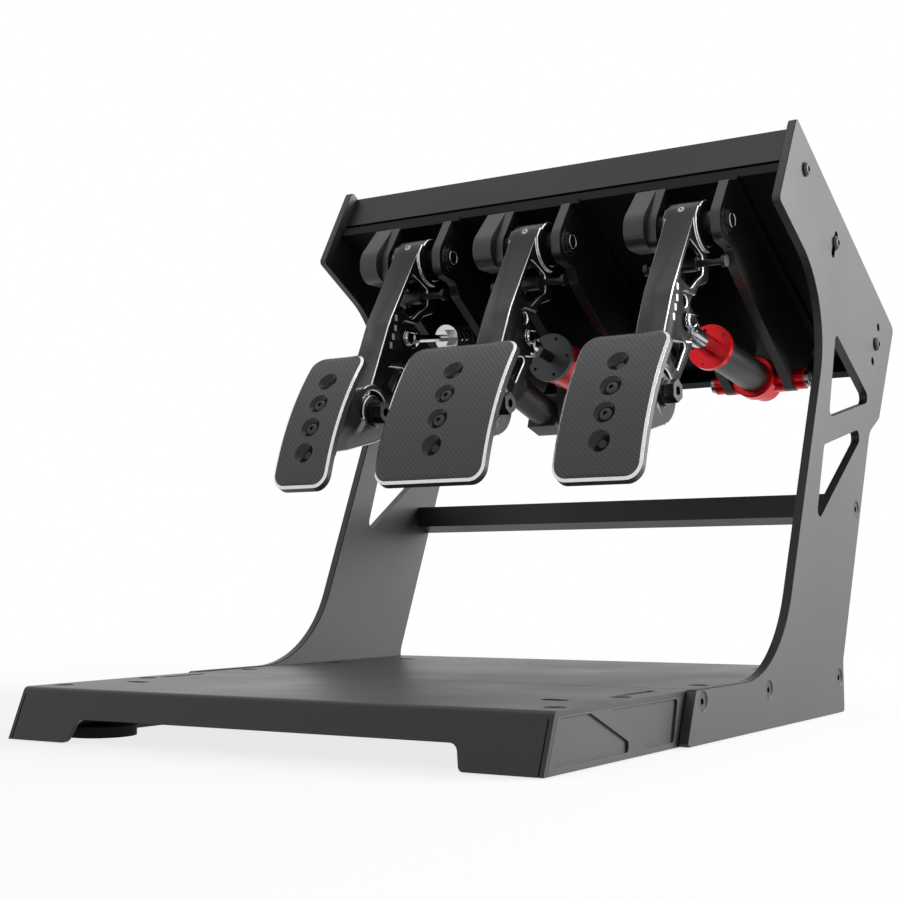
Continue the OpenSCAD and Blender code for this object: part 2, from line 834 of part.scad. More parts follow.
module pedal_face(x, drop, middle, w) {
    color(dark)
        at_face(x, drop)
            difference() {
                intersection() {
                    translate([middle, 0, 0])
                        difference() {
                            face_drum(face_r, w);
                            face_drum(face_r - face_t, w + 2);
                        }
                    translate([middle, 0, -40])
                        linear_extrude(50)
                            polygon(rounded([for (c = [[1, 1], [-1, 1], [-1, -1], [1, -1]])
                                [c.x * w / 2, c.y * face_len / 2, face_corner]]));
                }
                face_holes([-1.5, 1.5]) {
                    translate([0, 0, -4.5])
                        cylinder(d1 = face_screw_d + 0.8, d2 = face_hole_d, h = 4.6);
                    translate([0, 0, -face_t - 1])
                        cylinder(d = face_screw_d, h = face_t);
                }
                face_holes([-0.5, 0.5]) {
                    translate([0, 0, -3.5])
                        cylinder(d = face_hole_d, h = 5);
                    translate([0, 0, -face_t - 1])
                        cylinder(d = face_screw_d, h = face_t);
                }
            }
}

function arc_groove(r0, r1, a0, a1) = concat(
    [for (i = [0 : 12]) arm_end + r1 * ray(a0 + (a1 - a0) * i / 12)],
    [for (i = [12 : -1 : 0]) arm_end + r0 * ray(a0 + (a1 - a0) * i / 12)]);

// Two angle discs with struts to a pad that fits the back of the face
module face_bracket(x, drop) {
    strut = rounded([
        knot(arm_end + [4, -disc_r], 0),
        knot(arm_end + [-33, -30], 6),
        knot(arm_end + [-62, -34], 0),
        knot(arm_end + [-44, 12], 0),
        knot(arm_end + disc_r * ray(120), 4)
    ]);
    color(graphite)
        difference() {
            intersection() {
                union() {
                    for (s = [-1, 1]) {
                        left = s > 0 ? x + arm_w / 2 + seat : x - arm_w / 2 - seat - bracket_t;
                        cross_pin(left, bracket_t, arm_end, 2 * disc_r);
                        plate(left, bracket_t, strut);
                    }
                    at_face(x, 0)
                        translate([-18, -27, -face_t - 10])
                            cube([36, 48, 9]);
                }
                at_face(x, drop)
                    face_drum(face_r - face_t - 0.1, 60);
            }
            cross_pin(x - 30, 60, arm_end, lock_d + 2 * fit);
            plate(x + arm_w / 2, bracket_t + 1, arc_groove(disc_r - 8, disc_r - 4.5, 20, 200));
            at_face(x, drop)
                face_holes([-0.5, 0.5])
                    translate([0, 0, -face_t - 14])
                        cylinder(d = face_screw_d, h = 20);
        }
}

// Cross bolt with a hexagon knob on the right and a nut on the left
module angle_lock(x) {
    out = arm_w / 2 + seat + bracket_t;
    color(dark)
        difference() {
            union() {
                cross_pin(x - out, 2 * out, arm_end, lock_d);
                cross_pin(x + out, 3, arm_end, 19);
                translate([x + out + 3, arm_end.x, arm_end.y])
                    rotate([0, 90, 0])
                        cylinder(d = 16, h = 8, $fn = 6);
                translate([x - out - 6, arm_end.x, arm_end.y])
                    rotate([0, 90, 0])
                        cylinder(d = 15, h = 6, $fn = 6);
            }
            translate([x + out + 6, arm_end.x, arm_end.y])
                rotate([0, 90, 0])
                    cylinder(d = 7, h = 9, $fn = 6);
        }
}

// Clevis pin through both webs, with a bush between the clevis ears
module clevis_pin(x, pin) {
    color(silver) {
        cross_pin(x - arm_w / 2 - 3, arm_w + 6, pin, pin_d);
        cross_pin(x - arm_w / 2 - 4.5, 1.5, pin, pin_d + 4);
    }
    color(silver)
        difference() {
            cross_pin(x - ear_x + 0.2, 2 * ear_x - 0.4, pin, pin_d + 5);
            cross_pin(x - ear_x, 2 * ear_x, pin, pin_d + 2 * fit);
        }
    color(silver)
        difference() {
            cross_pin(x + arm_w / 2 + 0.2, 1, pin, pin_d + 5);
            cross_pin(x + arm_w / 2, 2, pin, pin_d + 2 * fit);
        }
}

// Frame of a rod: Z runs from the clevis pin to the trunnion
module along(x, pin, angle) {
    translate([x, pin.x, pin.y])
        rotate([angle - 90, 0, 0])
            children();
}

// Fork of a rod, its ears between the arm's webs
module clevis() {
    ear_r = pin_d / 2 + pin_play + 3;
    wide = web_x - 0.5;
    color(silver)
        difference() {
            union() {
                for (s = [-1, 1]) {
                    left = s > 0 ? ear_x : -wide;
                    translate([left, 0, 0])
                        rotate([0, 90, 0])
                            cylinder(r = ear_r, h = wide - ear_x);
                    translate([left, -ear_r, 0])
                        cube([wide - ear_x, 2 * ear_r, 14]);
                }
                translate([-wide, -ear_r, 13])
                    cube([2 * wide, 2 * ear_r, 6]);
                translate([0, 0, 18])
                    cylinder(d = 14, h = clevis_len - 18);
            }
            translate([-wide - 1, 0, 0])
                rotate([0, 90, 0])
                    cylinder(r = pin_d / 2 + pin_play, h = 2 * wide + 2);
        }
}

module piston_rod(d, bore) {
    color(silver) {
        translate([0, 0, clevis_len])
            cylinder(d = d, h = piston_s - clevis_len + 0.01);
        translate([0, 0, piston_s])
            cylinder(d = bore - 2 * fit, h = 10);
    }
}

// Rear end of a damper with its two cross bosses, bored for the trunnion bolts
module trunnion_end(from, bore, bore_end, d) {
    difference() {
        union() {
            rotate_extrude()
                polygon([
                    [0, from], [d / 2 - 1, from], [d / 2, from + 1], [d / 2, cap_s + cap_ring],
                    [d / 2 - 3.5, cap_s + cap_ring + 2], [d / 2 - 3.5, damper_len + 10],
                    [d / 2 - 6, damper_len + 13], [0, damper_len + 13]
                ]);
            translate([-cheek_x + seat, 0, damper_len])
                rotate([0, 90, 0])
                    cylinder(d = 18, h = cheek_gap - 2 * seat);
        }
        translate([0, 0, from - 1])
            cylinder(d = bore, h = bore_end - from + 1);
        trunnion_bores(damper_len);
    }
}

module trunnion_bores(s) {
    for (x = [-cheek_x - 1, trunnion_in - 0.5])
        translate([x, 0, s])
            rotate([0, 90, 0])
                cylinder(d = trunnion_d + 2 * fit, h = cheek_x + 1.5 - trunnion_in);
}

module throttle_flange() {
    color(red)
        along(throttle_x, damper_pin, damper_angle)
            difference() {
                translate([0, 0, flange_s])
                    cylinder(d = cap_d, h = 5);
                translate([0, 0, flange_s - 1])
                    cylinder(d = chrome_d + 2 * fit, h = 7);
                for (i = [0 : 4])
                    rotate([0, 0, i * 72 + 36])
                        translate([cap_d / 2 - 4, 0, flange_s - 1])
                            cylinder(d = 2.6, h = 7);
            }
}

module throttle_cylinder() {
    color(graphite)
        along(throttle_x, damper_pin, damper_angle)
            translate([0, 0, flange_s + 5])
                difference() {
                    cylinder(d = damper_d, h = cap_s + 3 - flange_s - 5);
                    translate([0, 0, -1])
                        cylinder(d = damper_d - 4, h = cap_s);
                }
}

module throttle_rear_cap() {
    color(red)
        along(throttle_x, damper_pin, damper_angle)
            trunnion_end(cap_s, damper_d + 2 * fit, cap_s + 3, cap_d);
}

module throttle_rod() {
    along(throttle_x, damper_pin, damper_angle)
        piston_rod(chrome_d, damper_d - 4);
}

module brake_flange() {
    color(dark)
        along(brake_x, damper_pin, damper_angle)
            difference() {
                union() {
                    translate([0, 0, brake_s])
                        cylinder(d = brake_flange_d, h = 4);
                    translate([0, 0, brake_s + 3.9])
                        cylinder(d = brake_flange_d - 3, h = 3.1);
                }
                translate([0, 0, brake_s - 1])
                    cylinder(d = brake_rod_d + 2 * fit, h = 9);
                for (i = [0 : 4])
                    rotate([0, 0, i * 72])
                        translate([brake_flange_d / 2 - 4, 0, brake_s - 1])
                            cylinder(d = 2.6, h = 4);
            }
}

module brake_cylinder() {
    color(red)
        along(brake_x, damper_pin, damper_angle)
            trunnion_end(brake_s + 7, cap_d - 10, cap_s + 2, cap_d);
}

module brake_rod() {
    along(brake_x, damper_pin, damper_angle) {
        piston_rod(brake_rod_d, cap_d - 10);
        color(silver)
            difference() {
                translate([0, 0, clevis_len])
                    cylinder(d = 15, h = 6, $fn = 6);
                translate([0, 0, clevis_len - 1])
                    cylinder(d = brake_rod_d + 2 * fit, h = 8);
            }
    }
}

// Threaded rod with the washer and nut that press on the spring
module clutch_rod() {
    along(clutch_x, clutch_pin, clutch_angle) {
        color(graphite)
            translate([0, 0, clevis_len])
                cylinder(d = clutch_rod_d, h = clutch_len + 2 - clevis_len);
        color(silver)
            difference() {
                union() {
                    translate([0, 0, nut_s - 7])
                        cylinder(d = 15, h = 7, $fn = 6);
                    translate([0, 0, nut_s - 0.01])
                        cylinder(d = spring_d, h = 2);
                }
                translate([0, 0, nut_s - 8])
                    cylinder(d = clutch_rod_d + 2 * fit, h = 12);
            }
    }
}

module clutch_trunnion() {
    color(graphite)
        along(clutch_x, clutch_pin, clutch_angle)
            difference() {
                union() {
                    translate([-cheek_x + seat, 0, clutch_len])
                        rotate([0, 90, 0])
                            cylinder(d = 20, h = cheek_gap - 2 * seat);
                    translate([0, 0, spring_end])
                        cylinder(d = spring_d + 2, h = clutch_len - spring_end);
                }
                translate([0, 0, spring_end - 1])
                    cylinder(d = clutch_rod_d + 2 * fit, h = 40);
                trunnion_bores(clutch_len);
            }
}

// Coil spring: one tube wound at a steady pitch between two closed end turns
spring_start = nut_s + 2 + seat;
spring_end = clutch_len - 13;
coil_h = spring_end - seat - spring_start - wire_d;
coil_turns = spring_turns + 2;
closed_pitch = wire_d + 0.5;
function coil_height(t) =
    t < 1 ? closed_pitch * t :
    t > coil_turns - 1 ? coil_h - closed_pitch * (coil_turns - t) :
    closed_pitch + (t - 1) * (coil_h - 2 * closed_pitch) / (coil_turns - 2);
function coil_ring(t) =
    [for (i = [0 : 5])
        let (r = (spring_d - wire_d) / 2 + wire_d / 2 * cos(60 * i))
        [r * cos(360 * t), r * sin(360 * t),
         spring_start + wire_d / 2 + coil_height(t) + wire_d / 2 * sin(60 * i)]];
coil_steps = coil_turns * 8;
coil_points = [for (i = [0 : coil_steps]) each coil_ring(i / 8)];
coil_gap = min([for (i = [0 : coil_steps - 8], a = [0 : 5], b = [0 : 5])
    norm(coil_points[i * 6 + a] - coil_points[(i + 8) * 6 + b])]);
echo(spring_gap_to_itself_mm = coil_gap);

module clutch_spring() {
    last = coil_steps * 6;
    color(graphite)
        along(clutch_x, clutch_pin, clutch_angle)
            polyhedron(
                points = coil_points,
                faces = concat(
                    [for (i = [1 : 4]) [0, i + 1, i]],
                    [for (i = [0 : coil_steps - 1], k = [0 : 5]) each [
                        [i * 6 + k, i * 6 + (k + 1) % 6, i * 6 + 6 + k],
                        [i * 6 + (k + 1) % 6, i * 6 + 6 + (k + 1) % 6, i * 6 + 6 + k]]],
                    [for (i = [1 : 4]) [last, last + i, last + i + 1]]
                ));
}

// Base plates under the mounting plate, one for each pedal
module pedal_base_plates() {
    color(dark)
        for (x = pedals)
            head()
                translate([x - base_half, 3, -cheek_top_v])
                    cube([2 * base_half, base_len, base_t]);
}

function cheek_outline() = rounded([
    knot(head_point(1.4, cheek_top_v), 1),
    knot(pivot + [-15.5, 4], 16),
    knot(pivot + [-14, -14.5], 9),
    knot(pivot + [9, -18.5], 7),
    knot(pivot + [13.5, -29], 8),
    knot(damper_trunnion + [1, -11.7], 9),
    knot(head_point(200, cheek_top_v), 1)
]);

module cheeks(x, trunnion) {
    color(black)
        for (left = [x - cheek_x - cheek_t, x + cheek_x])
            difference() {
                plate(left, cheek_t, cheek_outline());
                cross_pin(left - 1, cheek_t + 2, pivot, bearing_d + 2 * fit);
                cross_pin(left - 1, cheek_t + 2, stop_place, stop_bolt_d + 2 * fit);
                cross_pin(left - 1, cheek_t + 2, trunnion, trunnion_d + 2 * fit);
            }
}

// Fixed tubes that the arms rest on, each held by a cross bolt
module stop_sleeves() {
    out = cheek_x + cheek_t;
    color(silver)
        for (x = pedals) {
            difference() {
                cross_pin(x - cheek_x, cheek_x + web_x + 3, stop_place, sleeve_d);
                cross_pin(x - cheek_x - 1, cheek_gap + 2, stop_place, stop_bolt_d + 2 * fit);
            }
            cross_pin(x - out, 2 * out, stop_place, stop_bolt_d);
            for (left = [x - out - 3, x + out])
                cross_pin(left, 3, stop_place, stop_bolt_d + 4);
        }
}

module pivot_bearings() {
    color(silver)
        for (x = pedals, left = [x - cheek_x - cheek_t, x + cheek_x])
            difference() {
                cross_pin(left, cheek_t, pivot, bearing_d);
                cross_pin(left - 1, cheek_t + 2, pivot, shaft_d + 2 * fit);
            }
}

function sensor_outline() = rounded([
    knot(head_point(1.4, cheek_top_v), 1),
    knot(pivot + [-20.5, 6], 16),
    knot(pivot + [-21.5, -15], 13),
    knot(pivot + [18, -15], 13),
    knot(head_point(22, cheek_top_v), 1)
]);

// Housings of the angle sensors, hollow round the shaft's end
module sensor_housings() {
    color(graphite)
        for (x = pedals)
            difference() {
                plate(x - cheek_x - cheek_t - sensor_w, sensor_w, sensor_outline());
                cross_pin(x - cheek_x - cheek_t - sensor_w + 3, sensor_w, pivot, shaft_d + 10);
            }
}

module sensor_covers() {
    color(dark)
        for (x = pedals)
            plate(x - cheek_x - cheek_t - sensor_w - 2, 2, sensor_outline());
}

module damper_bushes() {
    color(red)
        for (x = [brake_x, throttle_x], left = [x - cheek_x - cheek_t - bush_w, x + cheek_x + cheek_t])
            difference() {
                cross_pin(left, bush_w, damper_trunnion, 16);
                cross_pin(left - 1, bush_w + 2, damper_trunnion, trunnion_d + 2 * fit);
            }
}

// Stub bolts that carry the dampers, from outside the cheeks into the end bosses
module trunnion_bolts() {
    color(silver)
        for (s = [-1, 1]) {
            for (x = [brake_x, throttle_x])
                trunnion_bolt(x, s, damper_trunnion, bush_w);
            trunnion_bolt(clutch_x, s, clutch_pivot, 0);
        }
}

module trunnion_bolt(x, s, p, bush) {
    out = cheek_x + cheek_t + bush;
    translate([x, p.x, p.y])
        rotate([0, s * 90, 0])
            difference() {
                union() {
                    translate([0, 0, trunnion_in])
                        cylinder(d = trunnion_d, h = out - trunnion_in + 1);
                    translate([0, 0, out])
                        cylinder(d = trunnion_d + 5, h = 3.5);
                }
                translate([0, 0, out + 1.5])
                    cylinder(d = 6, h = 3, $fn = 6);
            }
}

// Dark cylinder beside the brake, bolted to the left brake cheek by its block
module brake_pressure_cylinder() {
    color(graphite)
        along(pressure_x, pressure_front, pressure_angle)
            difference() {
                cylinder(d = 24, h = pressure_len);
                translate([0, 0, -1])
                    cylinder(d = 10, h = 12);
            }
}

module brake_pressure_block() {
    out = brake_x - cheek_x - cheek_t;
    color(dark)
        union() {
            along(pressure_x, pressure_front, pressure_angle)
                translate([-13, -13, pressure_len])
                    cube([26, 26, 20]);
            plate(out - 5, 5, rounded([
                knot(pressure_end + [-10, 40], 4),
                knot(pressure_end + [14, 26], 4),
                knot(pressure_end + [16, -12], 4),
                knot(pressure_end + [-4, -8], 2)
            ]));
            translate([pressure_x, pressure_end.x + 3, pressure_end.y - 8])
                cube([out - pressure_x, 12, 16]);
        }
}

module control_box() {
    color(dark)
        head()
            difference() {
                translate([box_x - box_w / 2, box_u, -deck_v - box_h])
                    cube([box_w, box_l, box_h]);
                translate([box_x - box_w / 2 + 2, box_u + 2, -deck_v - box_h - 1])
                    cube([box_w - 4, box_l - 4, box_h - 1]);
            }
}

module control_box_lid() {
    color(graphite)
        head()
            translate([box_x - box_w / 2, box_u, -deck_v - box_h - 2])
                cube([box_w, box_l, 2]);
}

module control_board() {
    color("#1f5a34")
        head()
            translate([box_x - box_w / 2 + 2, box_u + 2, -deck_v - box_h + 4])
                cube([box_w - 4, box_l - 4, 1.6]);
}

module side_plate_left() side_plate(-1);
module side_plate_right() side_plate(1);
module base_beam_left() base_beam(-1);
module base_beam_right() base_beam(1);
module clutch_cheeks() cheeks(clutch_x, clutch_pivot);
module brake_cheeks() cheeks(brake_x, damper_trunnion);
module throttle_cheeks() cheeks(throttle_x, damper_trunnion);
module clutch_arm() pedal_arm(clutch_x, clutch_pin);
module clutch_shaft() pedal_shaft(clutch_x);
module clutch_face() pedal_face(clutch_x, 0, 0, clutch_face_w);
module clutch_face_bracket() face_bracket(clutch_x, 0);
module clutch_angle_lock() angle_lock(clutch_x);
module clutch_clevis_pin() clevis_pin(clutch_x, clutch_pin);
module clutch_clevis() along(clutch_x, clutch_pin, clutch_angle) clevis();
module brake_arm() pedal_arm(brake_x, damper_pin);
module brake_shaft() pedal_shaft(brake_x);
module brake_face() pedal_face(brake_x, 0, brake_face_shift, brake_face_w);
module brake_face_bracket() face_bracket(brake_x, 0);
module brake_angle_lock() angle_lock(brake_x);
module brake_clevis_pin() clevis_pin(brake_x, damper_pin);
module brake_clevis() along(brake_x, damper_pin, damper_angle) clevis();
module throttle_arm() pedal_arm(throttle_x, damper_pin);
module throttle_shaft() pedal_shaft(throttle_x);
module throttle_face() pedal_face(throttle_x, throttle_face_drop, throttle_face_shift, throttle_face_w);
module throttle_face_bracket() face_bracket(throttle_x, throttle_face_drop);
module throttle_angle_lock() angle_lock(throttle_x);
module throttle_clevis_pin() clevis_pin(throttle_x, damper_pin);
module throttle_clevis() along(throttle_x, damper_pin, damper_angle) clevis();

side_plate_left();
side_plate_right();
base_beam_left();
base_beam_right();
heel_plate_front();
heel_plate_rear();
base_cross_rails();
rubber_feet();
rear_cross_bar();
fascia_beam();
mounting_plate();
plate_side_rails();
button_screws();
countersunk_screws();
control_box();
control_box_lid();
control_board();
pedal_base_plates();
clutch_cheeks();
brake_cheeks();
throttle_cheeks();
stop_sleeves();
pivot_bearings();
sensor_housings();
sensor_covers();
damper_bushes();
trunnion_bolts();
brake_pressure_cylinder();
brake_pressure_block();
clutch_arm();
clutch_shaft();
clutch_face();
clutch_face_bracket();
clutch_angle_lock();
clutch_clevis_pin();
clutch_clevis();
clutch_rod();
clutch_spring();
clutch_trunnion();
brake_arm();
brake_shaft();
brake_face();
brake_face_bracket();
brake_angle_lock();
brake_clevis_pin();
brake_clevis();
brake_rod();
brake_cylinder();
brake_flange();
throttle_arm();
throttle_shaft();
throttle_face();
throttle_face_bracket();
throttle_angle_lock();
throttle_clevis_pin();
throttle_clevis();
throttle_rod();
throttle_cylinder();
throttle_flange();
throttle_rear_cap();
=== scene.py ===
# Sim racing pedal set: three hanging pedals with dampers on a sloping plate, in a stand of black plates.
import math

import bmesh
import bpy
from mathutils import Matrix, Vector, geometry


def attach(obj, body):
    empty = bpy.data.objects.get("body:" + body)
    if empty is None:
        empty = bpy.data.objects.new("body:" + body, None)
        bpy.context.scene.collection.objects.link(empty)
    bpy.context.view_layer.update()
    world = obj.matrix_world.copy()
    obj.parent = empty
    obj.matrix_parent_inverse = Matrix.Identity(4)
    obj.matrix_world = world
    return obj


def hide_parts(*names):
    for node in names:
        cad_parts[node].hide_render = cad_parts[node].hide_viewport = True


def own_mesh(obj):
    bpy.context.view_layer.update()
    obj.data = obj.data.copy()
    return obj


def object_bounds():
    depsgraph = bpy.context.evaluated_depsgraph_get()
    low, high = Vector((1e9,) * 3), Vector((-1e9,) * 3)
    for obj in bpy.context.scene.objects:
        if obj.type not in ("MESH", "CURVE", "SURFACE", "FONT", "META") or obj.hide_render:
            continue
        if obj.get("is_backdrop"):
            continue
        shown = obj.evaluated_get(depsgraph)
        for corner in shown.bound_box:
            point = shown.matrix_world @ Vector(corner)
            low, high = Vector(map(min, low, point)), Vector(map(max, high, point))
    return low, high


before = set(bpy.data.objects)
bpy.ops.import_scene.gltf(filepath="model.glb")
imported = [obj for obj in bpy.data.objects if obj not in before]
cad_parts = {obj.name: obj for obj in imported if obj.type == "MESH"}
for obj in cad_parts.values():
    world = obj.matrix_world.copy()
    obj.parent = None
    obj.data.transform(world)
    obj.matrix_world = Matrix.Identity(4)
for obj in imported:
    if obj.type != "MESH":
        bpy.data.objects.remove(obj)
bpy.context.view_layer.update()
scene = bpy.context.scene
MM = 0.001  # sizes are in millimetres, but for the view and the studio, which are in metres

# The view. The photograph is taken close to the floor, in front of the stand and to its right,
# with a lens a little longer than normal, so the heel plate is seen almost edge on.
PHOTO_SIDE = 900
FOCAL_PIXELS = 1569.42
SENSOR = 36
eye = Vector((0.5833, -0.9858, 0.1030))
yaw, pitch, roll = 0.569275, 0.0789512, -0.00609475
ahead = Vector((-math.sin(yaw) * math.cos(pitch), math.cos(yaw) * math.cos(pitch), math.sin(pitch)))
level = Vector((math.cos(yaw), math.sin(yaw), 0))
upright = level.cross(ahead)
right = math.cos(roll) * level + math.sin(roll) * upright
up = math.cos(roll) * upright - math.sin(roll) * level
camera = bpy.data.objects.new("photo_camera", bpy.data.cameras.new("photo_camera"))
camera.matrix_world = Matrix.Translation(eye) @ Matrix((right, up, -ahead)).transposed().to_4x4()
camera.data.sensor_width = SENSOR
camera.data.lens = SENSOR * FOCAL_PIXELS / PHOTO_SIDE
scene.collection.objects.link(camera)
scene.camera = camera
scene.view_settings.view_transform = "Standard"


# The studio: a white room round the stand. The camera and whatever mirrors see the room as white,
# and the soft light that it gives to matt surfaces is dimmer than it looks.
def add_node(tree, kind, sockets=None, links=None, **settings):
    """One node with its settings, the values of its sockets, and what feeds them."""
    node = tree.nodes.new(kind)
    for name, value in settings.items():
        setattr(node, name, value)
    for name, value in (sockets or {}).items():
        node.inputs[name].default_value = value
    for name, source in (links or {}).items():
        tree.links.new(source, node.inputs[name])
    return node


def linear(code):
    """A hex colour as seen on a screen, turned to the linear colour that a socket takes."""
    parts = [int(code[i:i + 2], 16) / 255 for i in (0, 2, 4)]
    return [p / 12.92 if p <= 0.04045 else ((p + 0.055) / 1.055) ** 2.4 for p in parts] + [1.0]


def seen_directly(tree):
    """1 where the camera, a reflection or a refraction looks at the surface, else 0."""
    path = add_node(tree, "ShaderNodeLightPath")
    mirror = add_node(tree, "ShaderNodeMath", operation="MAXIMUM",
                      links={0: path.outputs["Is Glossy Ray"], 1: path.outputs["Is Transmission Ray"]})
    return add_node(tree, "ShaderNodeMath", operation="MAXIMUM",
                    links={0: path.outputs["Is Camera Ray"], 1: mirror.outputs[0]}).outputs[0]


ROOM_FILL = 0.34
room = bpy.data.worlds.new("white_room")
room.use_nodes = True
scene.world = room
tree = room.node_tree
tree.nodes.clear()
fill = add_node(tree, "ShaderNodeBackground", {"Color": linear("f4f6fa"), "Strength": ROOM_FILL})
backdrop = add_node(tree, "ShaderNodeBackground", {"Color": linear("ffffff"), "Strength": 1.0})
both = add_node(tree, "ShaderNodeMixShader",
                links={0: seen_directly(tree), 1: fill.outputs[0], 2: backdrop.outputs[0]})
add_node(tree, "ShaderNodeOutputWorld", links={"Surface": both.outputs[0]})

# The floor: pale matt paper, far wider than the stand. It keeps a share of the stand's shadow, which
# runs out with the distance from the middle (in metres) until the paper is as white as the room.
FLOOR_REACH = 6.0
SHADOW_SHARE = 0.2
SHADOW_NEAR = 0.35
SHADOW_FAR = 1.0
SQUARE = ((-1, -1), (1, -1), (1, 1), (-1, 1))
mesh = bpy.data.meshes.new("studio_floor")
mesh.from_pydata([(x * FLOOR_REACH, y * FLOOR_REACH, 0) for x, y in SQUARE], [], [(0, 1, 2, 3)])
floor = bpy.data.objects.new("studio_floor", mesh)
scene.collection.objects.link(floor)
paper = bpy.data.materials.new("white_background_paper")
paper.use_nodes = True
tree = paper.node_tree
tree.nodes.clear()
matt = add_node(tree, "ShaderNodeBsdfDiffuse", {"Color": linear("f3f3f3")})
glow = add_node(tree, "ShaderNodeEmission", {"Color": linear("ffffff"), "Strength": 1.0})
spot = add_node(tree, "ShaderNodeTexCoord").outputs["Object"]
distance = add_node(tree, "ShaderNodeVectorMath", links={0: spot}, operation="LENGTH").outputs["Value"]
plain = add_node(tree, "ShaderNodeMapRange", {"From Min": SHADOW_NEAR, "From Max": SHADOW_FAR,
                                              "To Min": 1 - SHADOW_SHARE, "To Max": 1.0}, {"Value": distance})
share = add_node(tree, "ShaderNodeMath", links={0: seen_directly(tree), 1: plain.outputs[0]}, operation="MULTIPLY")
both = add_node(tree, "ShaderNodeMixShader",
                links={0: share.outputs[0], 1: matt.outputs[0], 2: glow.outputs[0]})
add_node(tree, "ShaderNodeOutputMaterial", links={"Surface": both.outputs[0]})
mesh.materials.append(paper)
floor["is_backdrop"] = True

# Soft boxes: one in front on the left for the pedals, kept out of reflections, one overhead, and one
# behind on the right, whose reflection gives the right side plate its pale satin sheen.
SOFT_BOXES = [  # name, place, aim, side in metres, watts, seen in reflections
    ("front_soft_box", (-1.5, -2.1, 1.6), (0, 0, 0.22), 1.6, 14, False),
    ("overhead_soft_box", (-0.3, -0.1, 2.4), (0, 0, 0.1), 1.8, 4, True),
    ("right_soft_box", (2.1, 1.3, 0.95), (0.15, 0, 0.25), 1.7, 128, True),
]
for name, place, target, side, power, mirrored in SOFT_BOXES:
    lamp = bpy.data.lights.new(name, "AREA")
    lamp.size = side
    lamp.energy = power
    box = bpy.data.objects.new(name, lamp)
    box.location = place
    box.rotation_euler = (Vector(target) - Vector(place)).to_track_quat("-Z", "Y").to_euler()
    box.visible_camera = False
    box.visible_glossy = mirrored
    scene.collection.objects.link(box)


# Beams and rails of the stand: aluminium, blasted and black anodised. The blasting leaves a fine even
# grain, drawn at 0.5 mm so that it shows, and a soft satin sheen. The fascia and the rear bar are
# extrusions with a deeper, duller black.
CLOUDS_FROM, CLOUDS_TO = 0.3, 0.7
GLOSSIER, DULLER = 0.04, 0.05
RELIEF_MM = 0.03
EASE_SAMPLES = 4
BLEND_FACTOR, BLEND_LOW, BLEND_HIGH, BLEND_OUT = 0, 6, 7, 2


def new_finish(name):
    """A material with an empty tree, and the point on the piece from which its patterns are drawn."""
    finish = bpy.data.materials.new(name)
    finish.use_nodes = True
    finish.node_tree.nodes.clear()
    return finish, finish.node_tree, add_node(finish.node_tree, "ShaderNodeTexCoord").outputs["Object"]


def per_metre(size_mm):
    """A pattern's scale from the real size of one of its cells in millimetres."""
    return 1 / (size_mm * MM)


def blend_tones(tree, factor, low_tone, high_tone):
    """Two colours mixed by a pattern."""
    return add_node(tree, "ShaderNodeMix", {BLEND_LOW: linear(low_tone), BLEND_HIGH: linear(high_tone)},
                    {BLEND_FACTOR: factor}, data_type="RGBA").outputs[BLEND_OUT]


def worked_metal(name, tones, roughness, metallic=0.0, specular=0.5, cloud_mm=90, grain_mm=0.5, grain=0.3,
                 ease_mm=0.5):
    """A finish in two close tones with soft clouds, a fine grain in its relief, and eased edges."""
    finish, tree, place = new_finish(name)
    clouds = add_node(tree, "ShaderNodeTexNoise", {"Scale": per_metre(cloud_mm), "Detail": 3.0}, {"Vector": place})
    specks = add_node(tree, "ShaderNodeTexNoise", {"Scale": per_metre(grain_mm), "Detail": 2.0}, {"Vector": place})
    gloss = add_node(tree, "ShaderNodeMapRange",
                     {"From Min": CLOUDS_FROM, "From Max": CLOUDS_TO,
                      "To Min": roughness - GLOSSIER, "To Max": roughness + DULLER},
                     {"Value": clouds.outputs["Fac"]})
    eased = add_node(tree, "ShaderNodeBevel", {"Radius": ease_mm * MM}, samples=EASE_SAMPLES)
    bump = add_node(tree, "ShaderNodeBump", {"Strength": grain, "Distance": RELIEF_MM * MM},
                    {"Height": specks.outputs["Fac"], "Normal": eased.outputs["Normal"]})
    shader = add_node(tree, "ShaderNodeBsdfPrincipled", {"Metallic": metallic, "Specular IOR Level": specular},
                      {"Base Color": blend_tones(tree, clouds.outputs["Fac"], *tones),
                       "Roughness": gloss.outputs[0], "Normal": bump.outputs["Normal"]})
    add_node(tree, "ShaderNodeOutputMaterial", links={"Surface": shader.outputs[0]})
    return finish


def dress(finish, *names):
    """Gives CAD nodes a finish."""
    for name in names:
        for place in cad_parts[name].material_slots:
            place.material = finish


satin_black = worked_metal("satin_black_anodised_aluminium", ("1b1c1e", "222326"), 0.42)
dress(satin_black, "base_beam_left", "base_beam_right", "base_cross_rails")
deep_black = worked_metal("deep_black_anodised_extrusion", ("111214", "17181a"), 0.42, specular=0.4)
dress(deep_black, "fascia_beam", "rear_cross_bar")


# Side plates: cut from plate by laser, so the two sweeping bends of the leg's front edge are true
# arcs, drawn finer here than in the frame, where each is a row of short straight facets. The rim is
# broken with a narrow chamfer that turns to the dark side of the room, coloured darker as painted
# shade, so it reads as a thin black line.
MERGE_MM = 0.002
PLATE_CHAMFER = 0.6
PLATE_FLAT = 0.5
PLATE_SHARP = 20
WALL_TILT = 0.1
BEND_STEPS = 36
CUT_MM = 0.01
FACET_DEPTH = 1.0
BEND_SLACK = 0.05
BEND_OVERRUN = 0.01
FOOT_BEND = ((20, 33.7), (-118, 33.7), (138.238, 303.053), 92)
SHOULDER_BEND = ((138.238, 303.053), (20, 33.7), (38.074, 360.883), 70)


